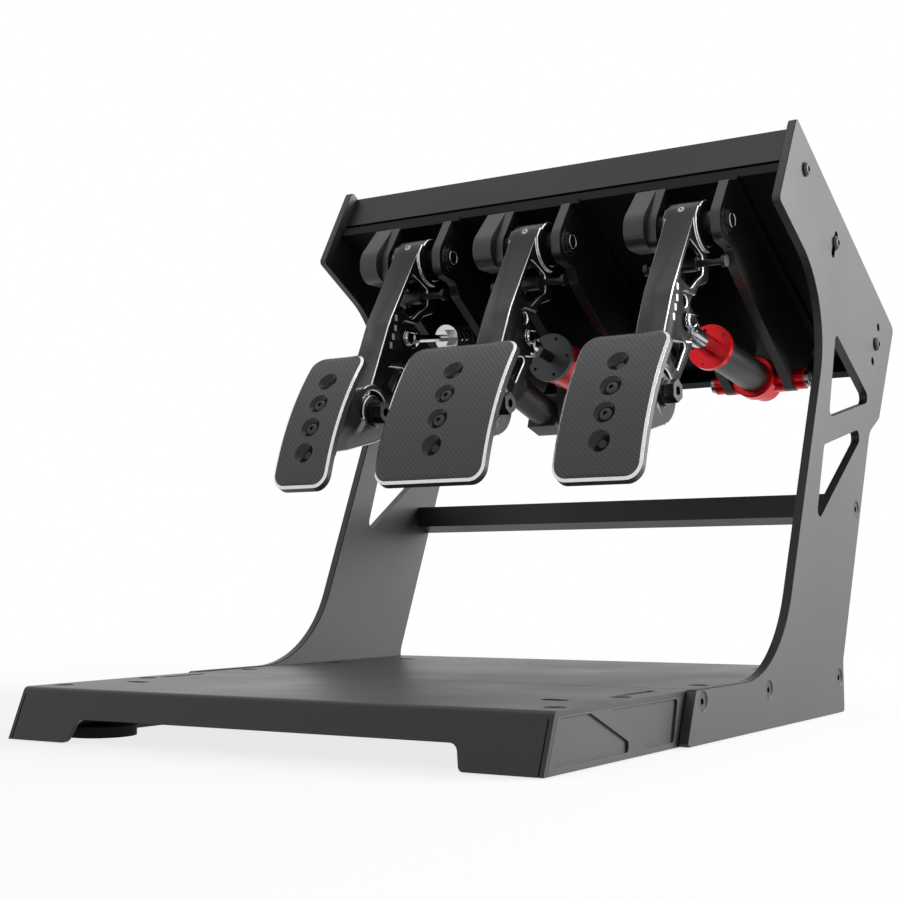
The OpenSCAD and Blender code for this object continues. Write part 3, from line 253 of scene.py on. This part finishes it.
def cad_shape(source, flat_within=None):
    """A CAD node's shape to work on, its double points merged and, if asked, its flat facets joined."""
    shape = bmesh.new()
    shape.from_mesh(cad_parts[source].data)
    bmesh.ops.remove_doubles(shape, verts=shape.verts, dist=MERGE_MM * MM)
    if flat_within:
        bmesh.ops.dissolve_limit(shape, angle_limit=math.radians(flat_within), verts=shape.verts, edges=shape.edges)
    return shape


def make_piece(name, shape, finishes, sharp_from=None, smooth=True):
    """A new piece of the scene from a worked shape, in its finishes, with sharp edges from an angle on."""
    mesh = bpy.data.meshes.new(name)
    for face in shape.faces:
        face.smooth = smooth
    shape.to_mesh(mesh)
    shape.free()
    for finish in finishes:
        mesh.materials.append(finish)
    if sharp_from:
        mesh.set_sharp_from_angle(angle=math.radians(sharp_from))
    piece = bpy.data.objects.new(name, mesh)
    scene.collection.objects.link(piece)
    return piece


def add_chamfer(piece, name, width_mm, method):
    """A chamfer in the piece's second finish."""
    chamfer = piece.modifiers.new(name, "BEVEL")
    chamfer.width = width_mm * MM
    chamfer.segments = 1
    chamfer.limit_method = method
    chamfer.use_clamp_overlap = False
    chamfer.material = 1
    chamfer.harden_normals = True
    return chamfer


def rim_edges(shape):
    """The edges of the outer rim: those between a side and the wall that runs round the outline."""
    walls = {face for face in shape.faces if abs(face.normal.x) < WALL_TILT}
    front = min(walls, key=lambda face: min(vert.co.y for vert in face.verts))
    rim, reached = {front}, [front]
    while reached:
        for edge in reached.pop().edges:
            for face in edge.link_faces:
                if face in walls and face not in rim:
                    rim.add(face)
                    reached.append(face)
    return [edge for face in rim for edge in face.edges if any(other not in walls for other in edge.link_faces)]


def half_turn(angle):
    """The same angle between minus and plus half a turn."""
    return (angle + math.pi) % math.tau - math.pi


def bend_of(corner, before, after, radius):
    """The centre of a round corner, its first angle and how far it turns."""
    corner = Vector(corner)
    a, b = (Vector(before) - corner).normalized(), (Vector(after) - corner).normalized()
    half = a.angle(b) / 2
    centre = corner + (a + b).normalized() * radius / math.sin(half)
    first, last = (corner + side * radius / math.tan(half) - centre for side in (a, b))
    start = math.atan2(first.y, first.x)
    return centre, start, half_turn(math.atan2(last.y, last.x) - start)


def smooth_bend(shape, corner, before, after, radius):
    """Cuts the facets of a round corner finer and moves them out to the true circle."""
    centre, start, turn = bend_of(corner, before, after, radius)

    def on_bend(vert):
        away = Vector((vert.co.y / MM, vert.co.z / MM)) - centre
        along = half_turn(math.atan2(away.y, away.x) - start) / turn
        return (-FACET_DEPTH < away.length - radius < BEND_SLACK
                and -BEND_OVERRUN < along < 1 + BEND_OVERRUN)

    for k in range(1, BEND_STEPS):
        wall = [face for face in shape.faces if all(on_bend(vert) for vert in face.verts)]
        edges = {edge for face in wall for edge in face.edges}
        verts = {vert for face in wall for vert in face.verts}
        angle = start + turn * k / BEND_STEPS
        bmesh.ops.bisect_plane(shape, geom=wall + list(edges) + list(verts), dist=CUT_MM * MM,
                               plane_co=(0, centre.x * MM, centre.y * MM),
                               plane_no=(0, -math.sin(angle), math.cos(angle)))
    for vert in [vert for vert in shape.verts if on_bend(vert)]:
        away = (Vector((vert.co.y / MM, vert.co.z / MM)) - centre).normalized() * radius + centre
        vert.co.y, vert.co.z = away.x * MM, away.y * MM


# The chamfer is painted a darker black than the plate as shade, and rougher, so it returns the least light.
# The frame's stored normals don't fit the finer bends, so these pieces go without them.
shade_painted_rim = worked_metal("plate_rim_painted_shade", ("060607", "0a0a0b"), 0.55, specular=0.2)
for name in ("side_plate_left", "side_plate_right"):
    shape = cad_shape(name, PLATE_FLAT)
    for bend in (FOOT_BEND, SHOULDER_BEND):
        smooth_bend(shape, *bend)
    weight = shape.edges.layers.float.new("bevel_weight_edge")
    for edge in rim_edges(shape):
        edge[weight] = 1.0
    piece = make_piece(f"{name}_cut", shape, (satin_black, shade_painted_rim))
    piece.data.attributes.remove(piece.data.attributes["custom_normal"])
    piece.data.set_sharp_from_angle(angle=math.radians(PLATE_SHARP))
    add_chamfer(piece, "rim_chamfer", PLATE_CHAMFER, "WEIGHT")
    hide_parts(name)
    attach(piece, "root")

# Heel plates: folded steel sheet under a satin powder coat. It is smoother than the plates, so that
# at a low angle it mirrors what stands on it. Its orange peel is a shallow grain, drawn at 0.8 mm.
powder_coat = worked_metal("satin_black_powder_coat", ("1a1b1e", "212224"), 0.38, specular=0.38, grain_mm=0.8,
                           grain=0.15)
dress(powder_coat, "heel_plate_front", "heel_plate_rear")

# Screws of the stand: black oxide steel, oiled, so darker and glossier than the plates round them.
# Pivot shafts and angle lock bolts, further down, have the same finish.
black_oxide = worked_metal("black_oxide_steel", ("0c0c0d", "151516"), 0.3, cloud_mm=12, grain=0.1, ease_mm=0.25)
dress(black_oxide, "button_screws", "countersunk_screws")

# Feet: moulded rubber under the ends of the side beams. The rubber is dull and a little dusty, with
# a coarser grain than the metal.
black_rubber = worked_metal("moulded_black_rubber", ("0d0d0d", "141414"), 0.75, specular=0.3, grain_mm=1.2, grain=0.5)
dress(black_rubber, "rubber_feet")

# Mounting plate with its rails, and the pedals' base plates: milled aluminium, flat black anodised,
# their colour painted almost black as shade, so the space under the plate stays dark.
shade_painted_plate = worked_metal("under_plate_painted_shade", ("050506", "090909"), 0.55, specular=0.15)
dress(shade_painted_plate, "mounting_plate", "plate_side_rails", "pedal_base_plates")

# Cheeks of the pedals: milled plates, black anodised over a finer blasting than the stand's. Their
# colour is painted nearly black as shade, for they hang in the dark under the head, and a stronger
# reflection lets their rims stand out a little from the dark behind them.
shade_painted_cheek = worked_metal("cheek_anodised_painted_shade", ("0d0e0f", "131415"), 0.38, specular=0.6, grain=0.2)
dress(shade_painted_cheek, "clutch_cheeks", "brake_cheeks", "throttle_cheeks")

# Sensor housings: moulded black nylon with a fine spark-eroded texture. The control box is painted
# almost black as shade, like the plate it hangs under, and its board has a glossy green solder mask.
moulded_nylon = worked_metal("moulded_black_nylon", ("1b1c1e", "242527"), 0.42, specular=0.6, grain_mm=0.8, grain=0.5)
dress(moulded_nylon, "sensor_housings", "sensor_covers")
dress(shade_painted_plate, "control_box", "control_box_lid")
solder_mask = worked_metal("green_solder_mask", ("0f4a2c", "145a36"), 0.3, cloud_mm=8, grain=0.05)
dress(solder_mask, "control_board")

# Bearings, bolts and shafts: turned steel. Bearings and cross bolts are zinc plated, bright with faint
# clouds; shafts and lock bolts are black; the stop sleeves have a smooth black plastic skin.
zinc_bright = worked_metal("zinc_bright_steel", ("8f9193", "b4b6b8"), 0.26, metallic=1.0, cloud_mm=6, grain=0.15,
                           ease_mm=0.3)
dress(zinc_bright, "pivot_bearings", "trunnion_bolts")
dress(black_oxide, "clutch_shaft", "brake_shaft", "throttle_shaft", "clutch_angle_lock", "brake_angle_lock",
      "throttle_angle_lock")
sleeve_black = worked_metal("black_plastic_sleeve", ("0f1011", "18191a"), 0.32, specular=0.45, cloud_mm=10)
dress(sleeve_black, "stop_sleeves")

# Rods and clevises: chrome plated steel, a clean mirror with a very slight orange peel. The brake's
# rod is plated in black chrome, which mirrors as sharply but gives back a third of the light.
chrome = worked_metal("chrome_plated_steel", ("b9bbbe", "d6d8da"), 0.12, metallic=1.0, cloud_mm=15, grain_mm=2,
                      grain=0.05, ease_mm=0.4)
dress(chrome, "clutch_clevis_pin", "clutch_clevis", "brake_clevis_pin", "brake_clevis", "throttle_clevis_pin",
      "throttle_rod", "throttle_clevis", "clutch_rod")
black_chrome = worked_metal("black_chrome_plated_steel", ("2a2b2e", "3c3d40"), 0.18, metallic=0.8, cloud_mm=15,
                            grain_mm=2, grain=0.05)
dress(black_chrome, "brake_rod")

# Dampers: turned aluminium tubes, flanges and caps. Red parts are dyed bright over the bare metal, so
# the metal gleams through; the others are satin in a dark and a middle grey.
red_anodised = worked_metal("red_anodised_aluminium", ("c40a12", "e8111c"), 0.24, metallic=0.6, cloud_mm=25,
                            ease_mm=0.4)
dress(red_anodised, "damper_bushes", "brake_cylinder", "throttle_flange", "throttle_rear_cap")
grey_anodised = worked_metal("dark_grey_anodised_aluminium", ("222426", "2b2d2f"), 0.4, specular=0.4)
dress(grey_anodised, "brake_pressure_cylinder", "brake_pressure_block", "clutch_trunnion", "throttle_cylinder")
flange_grey = worked_metal("mid_grey_anodised_aluminium", ("3e4042", "484a4c"), 0.42, specular=0.4)
dress(flange_grey, "brake_flange")


# Pedal arms and face brackets: milled aluminium, anodised first and then chamfered along every edge,
# so a thin line of bare polished metal runs round each wall and window. The arms' front is a smooth
# satin black; their webs, the faces turned to the sides, are painted a flatter, near black as shade;
# the brackets are satin graphite.
PEDALS = {"clutch": -107, "brake": 0, "throttle": 128.5}  # each pedal's middle, from the stand's
ARM_CHAMFER = 0.65
ARM_FLAT = 1.0
ARM_SHARP = 40
SIDE_FACING = 0.9
arm_black = worked_metal("black_anodised_arm_aluminium", ("16171a", "1c1e20"), 0.26, specular=0.42, grain=0.2)
shade_painted_web = worked_metal("arm_web_painted_shade_black", ("08090a", "0e0f10"), 0.5, specular=0.12, grain=0.2)
graphite = worked_metal("satin_graphite_anodised_aluminium", ("1c1e20", "26282a"), 0.3, specular=0.45)
bare_metal = worked_metal("bare_polished_aluminium", ("d4d5d6", "ececed"), 0.32, metallic=1.0, cloud_mm=5, grain=0.1,
                          ease_mm=0.2)
for pedal in PEDALS:
    for part, main, side, slot_name in (("arm", arm_black, shade_painted_web, "anodised_black"),
                                        ("face_bracket", graphite, graphite, "anodised_grey")):
        shape = cad_shape(f"{pedal}_{part}", ARM_FLAT)
        # On the arms, faces turned to the sides take the webs' painted shade; on the brackets they stay graphite.
        for face in shape.faces:
            face.material_index = 2 if abs(face.normal.x) > SIDE_FACING else 0
        piece = make_piece(f"{pedal}_{part}_chamfered", shape, (main, bare_metal, side))
        add_chamfer(piece, "edge_chamfer", ARM_CHAMFER, "ANGLE").angle_limit = math.radians(ARM_SHARP)
        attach(piece, f"{pedal}_pedal")
        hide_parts(f"{pedal}_{part}")


# Pedal faces: pressed plates curved about a level axis, laminated in front with carbon twill under a
# clear coat. The rim was chamfered last, which bared a bright polished line. The plate's edge is satin
# graphite, and the blind counterbores are painted glossy black as shade, so they read as deep.
FACES = {"clutch": (48, 0, 0), "brake": (89, 2, 0), "throttle": (64, 1.5, 4)}  # width, shift right, shift down
FACE_PLACE = (-88.692, 218.054)
FACE_LEAN = math.radians(62.4)
FACE_BEND = 220
FACE_LENGTH = 113
FACE_T = 6
FACE_CORNER = 11
CORNER_STEPS = 10
OUTLINE_PITCH = 4
RIM_WIDTH = 1.8
RIM_SLOPE = 1.1
FACE_SHARP = 25
HOLES = 4
HOLE_PITCH = 20.4
HOLE_SIDES = 40
HOLE_R = 3.0
HOLE_FLOOR = FACE_T - 1
BORE_R = 7.75
BORE_LIP = 0.6
BORE_DEPTH = 4.6
LATTICE_X, LATTICE_Y = 4, 3
EDGE_GAP = 1.5
ROUND_GAP = 1.2
WELD_MM = 0.0001
TOW_MM = 0.95
TWILL_OVER, TWILL_REPEAT = 2, 4
TOW_RELIEF_MM = 0.25
CROWN_FACTOR, CROWN_WARP, CROWN_WEFT = 0, 2, 3
FRONT, RIM, WALL, WELL = range(4)


def carbon_twill(name):
    """Twill: tows of fibre cross in diagonal steps, each over two and under two, and catch light by turns."""
    finish, tree, place = new_finish(name)
    split = add_node(tree, "ShaderNodeSeparateXYZ", links={0: place})

    def calc(operation, a, b=None):
        node = add_node(tree, "ShaderNodeMath", operation=operation)
        for socket, value in ((0, a), (1, b)):
            if isinstance(value, (int, float)):
                node.inputs[socket].default_value = value
            elif value is not None:
                tree.links.new(value, node.inputs[socket])
        return node.outputs[0]

    across = calc("MULTIPLY", split.outputs["X"], per_metre(TOW_MM))
    along = calc("MULTIPLY", split.outputs["Z"], per_metre(TOW_MM * math.sin(FACE_LEAN)))
    step = calc("ADD", calc("FLOOR", across), calc("FLOOR", along))
    over = calc("LESS_THAN", calc("FLOORED_MODULO", step, TWILL_REPEAT), TWILL_OVER)
    weft = calc("SINE", calc("MULTIPLY", calc("FRACT", across), math.pi))
    warp = calc("SINE", calc("MULTIPLY", calc("FRACT", along), math.pi))
    crown = add_node(tree, "ShaderNodeMix", links={CROWN_FACTOR: over, CROWN_WARP: warp, CROWN_WEFT: weft},
                     data_type="FLOAT").outputs[0]
    cloth = blend_tones(tree, over, "08090a", "28292c")
    bump = add_node(tree, "ShaderNodeBump", {"Strength": 0.6, "Distance": TOW_RELIEF_MM * MM}, {"Height": crown})
    shader = add_node(tree, "ShaderNodeBsdfPrincipled",
                      {"Roughness": 0.42, "Specular IOR Level": 0.5, "Coat Weight": 0.2, "Coat Roughness": 0.2},
                      {"Base Color": cloth, "Normal": bump.outputs["Normal"]})
    add_node(tree, "ShaderNodeOutputMaterial", links={"Surface": shader.outputs[0]})
    return finish


def circle(radius, sides):
    """Points round a circle, counter-clockwise."""
    return [(radius * math.cos(math.tau * k / sides), radius * math.sin(math.tau * k / sides)) for k in range(sides)]


def bridge(shape, first, second, material=0):
    """A band of faces between two closed rows of points."""
    for k, vert in enumerate(first):
        j = (k + 1) % len(first)
        shape.faces.new((vert, first[j], second[j], second[k])).material_index = material


def face_frame(pedal):
    """Where a pedal's face stands: x across, y up along it, and z out of it."""
    _, shift, drop = FACES[pedal]
    return (Matrix.Translation((PEDALS[pedal] + shift, *FACE_PLACE)) @ Matrix.Rotation(FACE_LEAN, 4, "X")
            @ Matrix.Translation((0, -drop, 0)))


def face_outline(width):
    """Points round a rectangle with round corners, counter-clockwise, its long sides cut to a pitch."""
    corners = []
    for turn, (sx, sy) in enumerate(((1, 1), (-1, 1), (-1, -1), (1, -1))):
        for i in range(CORNER_STEPS + 1):
            a = math.radians(90 * (turn + i / CORNER_STEPS))
            corners.append((sx * (width / 2 - FACE_CORNER) + FACE_CORNER * math.cos(a),
                            sy * (FACE_LENGTH / 2 - FACE_CORNER) + FACE_CORNER * math.sin(a)))
    points = []
    for a, b in zip(corners, corners[1:] + corners[:1]):
        count = max(1, round(math.dist(a, b) / OUTLINE_PITCH))
        points += [(a[0] + (b[0] - a[0]) * i / count, a[1] + (b[1] - a[1]) * i / count) for i in range(count)]
    return points


def set_in(points, inset):
    """A closed outline moved inwards."""
    moved = []
    for i, (x, y) in enumerate(points):
        (ax, ay), (bx, by) = points[i - 1], points[(i + 1) % len(points)]
        size = math.hypot(bx - ax, by - ay)
        moved.append((x - (by - ay) / size * inset, y + (bx - ax) / size * inset))
    return moved


def face_lattice(width, holes):
    """Points spread over the front, clear of its rim and its holes, at which it can bend."""
    half, end = width / 2, FACE_LENGTH / 2
    columns, rows = int(half / LATTICE_X), int(end / LATTICE_Y)
    points = []
    for x in range(-columns * LATTICE_X, columns * LATTICE_X + 1, LATTICE_X):
        for y in range(-rows * LATTICE_Y, rows * LATTICE_Y + 1, LATTICE_Y):
            inside = abs(x) < half - RIM_WIDTH - EDGE_GAP and abs(y) < end - RIM_WIDTH - EDGE_GAP
            past = max(abs(x) - (half - FACE_CORNER), 0), max(abs(y) - (end - FACE_CORNER), 0)
            rounded = math.hypot(*past) < FACE_CORNER - RIM_WIDTH - ROUND_GAP
            if inside and rounded and all(math.hypot(x, y - hole) > BORE_R + ROUND_GAP for hole in holes):
                points.append((x, y))
    return points


def face_shape(width):
    """A face in its own frame: bent front, rim, side wall, flat-bottomed wells and back."""
    shape = bmesh.new()

    def depth(y):
        return math.sqrt(FACE_BEND ** 2 - y ** 2) - FACE_BEND

    def row(points, below):
        return [shape.verts.new((x, y, depth(y) - below)) for x, y in points]

    outer = face_outline(width)
    inner = set_in(outer, RIM_WIDTH)
    holes = [FACE_BEND * math.sin((i - (HOLES - 1) / 2) * HOLE_PITCH / FACE_BEND) for i in range(HOLES)]
    points, edges = [], []
    for loop in [inner] + [[(x, y + hole) for x, y in circle(BORE_R, HOLE_SIDES)] for hole in holes]:
        start = len(points)
        points += loop
        edges += [(start + i, start + (i + 1) % len(loop)) for i in range(len(loop))]
    points += face_lattice(width, holes)
    flat, _, cells, *_ = geometry.delaunay_2d_cdt([Vector(p) for p in points], edges, [], 0, WELD_MM)
    verts = [shape.verts.new((p.x, p.y, depth(p.y))) for p in flat]
    for cell in cells:
        middle = sum((flat[i] for i in cell), Vector((0, 0))) / len(cell)
        if all((middle - Vector((0, hole))).length > BORE_R for hole in holes):
            shape.faces.new([verts[i] for i in cell]).material_index = FRONT
    edge = row(outer, RIM_SLOPE)
    back = row(outer, FACE_T)
    bridge(shape, edge, verts[:len(inner)], RIM)
    bridge(shape, back, edge, WALL)
    for count, hole in enumerate(holes):
        start = len(inner) + count * HOLE_SIDES
        above = verts[start:start + HOLE_SIDES]
        tilt = math.asin(hole / FACE_BEND)
        for radius, below in ((BORE_R - BORE_LIP, BORE_LIP), (HOLE_R, BORE_DEPTH), (HOLE_R, HOLE_FLOOR)):
            ring = [shape.verts.new((x, hole + v * math.cos(tilt) - below * math.sin(tilt),
                                     depth(hole) - below * math.cos(tilt) - v * math.sin(tilt)))
                    for x, v in circle(radius, HOLE_SIDES)]
            bridge(shape, above, ring, WELL)
            above = ring
        shape.faces.new(above).material_index = WELL
    round_back = [(i, (i + 1) % len(back)) for i in range(len(back))]
    for cell in geometry.delaunay_2d_cdt([Vector(p) for p in outer], round_back, [], 1, WELD_MM)[2]:
        shape.faces.new([back[i] for i in reversed(cell)]).material_index = WALL
    bmesh.ops.recalc_face_normals(shape, faces=shape.faces)
    return shape


carbon = carbon_twill("carbon_twill_laminate")
polished_rim = worked_metal("polished_bare_chamfer", ("c9cacb", "e2e3e4"), 0.16, metallic=1.0, cloud_mm=5, grain=0.05,
                            ease_mm=0.2)
graphite_wall = worked_metal("graphite_anodised_plate_edge", ("303234", "3a3c3e"), 0.4, specular=0.4)
# The counterbores' glossy black is painted shade, so they read as deep.
shade_painted_well = worked_metal("counterbore_painted_shade", ("040405", "08080a"), 0.22, specular=0.35)
for pedal, (width, _, _) in FACES.items():
    shape = face_shape(width)
    bmesh.ops.transform(shape, matrix=Matrix.Scale(MM, 4) @ face_frame(pedal), verts=shape.verts)
    piece = make_piece(f"{pedal}_face_laminated", shape, (carbon, polished_rim, graphite_wall, shade_painted_well), FACE_SHARP)
    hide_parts(f"{pedal}_face")
    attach(piece, f"{pedal}_pedal")


# Screws that hold the faces: domed heads of black steel, each with a hexagonal socket, seated in the
# two middle counterbores. A small cup-point screw of bright steel shows in the front of each arm.
# A profile is a list of radii and heights, and a socket is its corners' radius and its depth.
PIVOT = (50.008, 352.954)
DOME = [(3.0, -5.0), (3.0, -1.6), (5.2, -1.6), (5.25, -0.4), (4.9, 0.6), (4.0, 1.3), (2.7, 1.6)]
DOME_SOCKET = (1.9, 1.5)
DOME_SEAT = 2.9
CUP = [(2.5, -2.0), (2.5, 0.05), (2.1, 0.35), (1.6, 0.4)]
CUP_SOCKET = (1.1, 1.2)
CUP_PLACE = (-17.4, 8.5)
CUP_LEAN = math.radians(57.6)
SCREW_SIDES = 32
SOCKET_SIDES = 6
SCREW_SHARP = 35


def screw(name, profile, socket, finish, place, body):
    """A turned screw with a hexagonal socket sunk in its top."""
    shape = bmesh.new()

    def ring(radius, height, sides):
        return [shape.verts.new((x, y, height)) for x, y in circle(radius, sides)]

    rings = [ring(radius, height, SCREW_SIDES) for radius, height in profile]
    for lower, upper in zip(rings, rings[1:]):
        bridge(shape, lower, upper)
    shape.faces.new(list(reversed(rings[0])))
    top = profile[-1][1]
    mouth, bottom = (ring(socket[0], height, SOCKET_SIDES) for height in (top, top - socket[1]))
    bridge(shape, bottom, mouth)
    shape.faces.new(bottom)
    for k, vert in enumerate(rings[-1]):
        j = (k + 1) % SCREW_SIDES
        a, b = (mouth[round(i * SOCKET_SIDES / SCREW_SIDES) % SOCKET_SIDES] for i in (k, j))
        shape.faces.new((vert, rings[-1][j], b) if a is b else (vert, rings[-1][j], b, a))
    bmesh.ops.recalc_face_normals(shape, faces=shape.faces)
    bmesh.ops.transform(shape, matrix=Matrix.Scale(MM, 4) @ place, verts=shape.verts)
    piece = make_piece(name, shape, (finish,), SCREW_SHARP)
    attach(piece, body)


for pedal in FACES:
    for count, i in enumerate((-0.5, 0.5)):
        turn = Matrix.Rotation(-i * HOLE_PITCH / FACE_BEND, 4, "X")
        seat = (face_frame(pedal) @ Matrix.Translation((0, 0, -FACE_BEND)) @ turn
                @ Matrix.Translation((0, 0, FACE_BEND - DOME_SEAT)))
        screw(f"{pedal}_face_screw_{count + 1}", DOME, DOME_SOCKET, black_oxide, seat, f"{pedal}_pedal")
    front = Matrix.Translation((PEDALS[pedal], PIVOT[0] + CUP_PLACE[0], PIVOT[1] + CUP_PLACE[1]))
    screw(f"{pedal}_arm_set_screw", CUP, CUP_SOCKET, zinc_bright, front @ Matrix.Rotation(CUP_LEAN, 4, "X"),
          f"{pedal}_pedal")


# Ends of the shafts and clevis pins, on the right: a bright circlip in the groove of each shaft's
# head, and on each clevis pin a sprung wire clip, whose ring and two legs grip the pin.
CIRCLIP_R = 5.3
CIRCLIP_WIRE = 0.45
CIRCLIP_STEPS = 36
CHEEK_FACE = 28.5
SHAFT_HEAD = 3.3
CLEVIS_PINS = {"clutch": (-35, -67), "brake": (-33, -75), "throttle": (-33, -75)}  # from the pivot
CLIP_X = 13.2
CLIP_WIRE = 0.65
CLIP_R = 4.9
CLIP_TURN = range(80, 300, 20)
CLIP_LEG = ((0, 11, 5.2), (0, 4.5, 4.9))
CLIP_SPRUNG_LEG = ((0.6, 5, -3.2), (0.8, 7.5, -0.5), (0.8, 10.5, -2.2))
WIRE_SIDES = 10


def wire(name, points, radius, body, closed=False):
    """A round chromed wire along a path in mm, in the part's frame."""
    path = [Vector(p) for p in points]
    shape = bmesh.new()
    rings, side = [], None
    for i, spot in enumerate(path):
        before = path[i - 1] if closed or i else spot
        after = path[(i + 1) % len(path)] if closed or i + 1 < len(path) else spot
        along = (after - before).normalized()
        side = side or along.orthogonal()
        side = (side - along * side.dot(along)).normalized()
        other = along.cross(side)
        rings.append([shape.verts.new((spot + side * u + other * v) * MM) for u, v in circle(radius, WIRE_SIDES)])
    for first, second in zip(rings, rings[1:]):
        bridge(shape, first, second)
    if closed:
        bridge(shape, rings[-1], rings[0])
    else:
        shape.faces.new(list(reversed(rings[0])))
        shape.faces.new(rings[-1])
    bmesh.ops.recalc_face_normals(shape, faces=shape.faces)
    piece = make_piece(name, shape, (chrome,))
    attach(piece, body)


for pedal, (dy, dz) in CLEVIS_PINS.items():
    loop = [(PEDALS[pedal] + CHEEK_FACE + SHAFT_HEAD, PIVOT[0] + y, PIVOT[1] + z)
            for y, z in circle(CIRCLIP_R, CIRCLIP_STEPS)]
    wire(f"{pedal}_shaft_circlip", loop, CIRCLIP_WIRE, f"{pedal}_pedal", closed=True)
    pin = Vector((PEDALS[pedal] + CLIP_X, PIVOT[0] + dy, PIVOT[1] + dz))
    ring = [(0, CLIP_R * math.cos(math.radians(a)), CLIP_R * math.sin(math.radians(a))) for a in CLIP_TURN]
    clip = [pin + Vector(p) for p in (*CLIP_LEG, *ring, *CLIP_SPRUNG_LEG)]
    wire(f"{pedal}_pin_clip", clip, CLIP_WIRE, f"{pedal}_pedal")


# Scale on the right web of the outer arms: four short marks burnt through the black dye by laser, by
# which the bite of the clutch and the throttle is set. The bared metal is pale and dull.
MARKS = ((-50, -53), (-51, -61), (-54, -68), (-57, -75))  # from the pivot
MARK_HALF = (1.7, 2.4)
WEB_FACE = 11.0
MARK_SUNK, MARK_PROUD = 0.3, 0.06
laser_mark = worked_metal("laser_bared_aluminium", ("b4b6b8", "cccdce"), 0.55, specular=0.3, cloud_mm=3, grain=0.2)
for pedal in ("clutch", "throttle"):
    shape = bmesh.new()
    for dy, dz in MARKS:
        corners = [(PIVOT[0] + dy + sy * MARK_HALF[0], PIVOT[1] + dz + sz * MARK_HALF[1]) for sy, sz in SQUARE]
        low, top = ([shape.verts.new(Vector((PEDALS[pedal] + WEB_FACE + out, y, z)) * MM) for y, z in corners]
                    for out in (-MARK_SUNK, MARK_PROUD))
        bridge(shape, low, top)
        shape.faces.new(top)
        shape.faces.new(list(reversed(low)))
    bmesh.ops.recalc_face_normals(shape, faces=shape.faces)
    piece = make_piece(f"{pedal}_arm_scale", shape, (laser_mark,), smooth=False)
    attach(piece, f"{pedal}_pedal")


# Clutch spring: a coil of black round wire between the rod's washer and the spring block. The pedal
# The pedal presses it shorter; here the coil hangs from the spring block on a mesh of its own.
COIL_SHARP = 70
coil = make_piece("clutch_coil", cad_shape("clutch_spring"), (black_oxide,), COIL_SHARP)
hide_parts("clutch_spring")
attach(coil, "clutch_spring_block")
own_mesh(coil)


low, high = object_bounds()
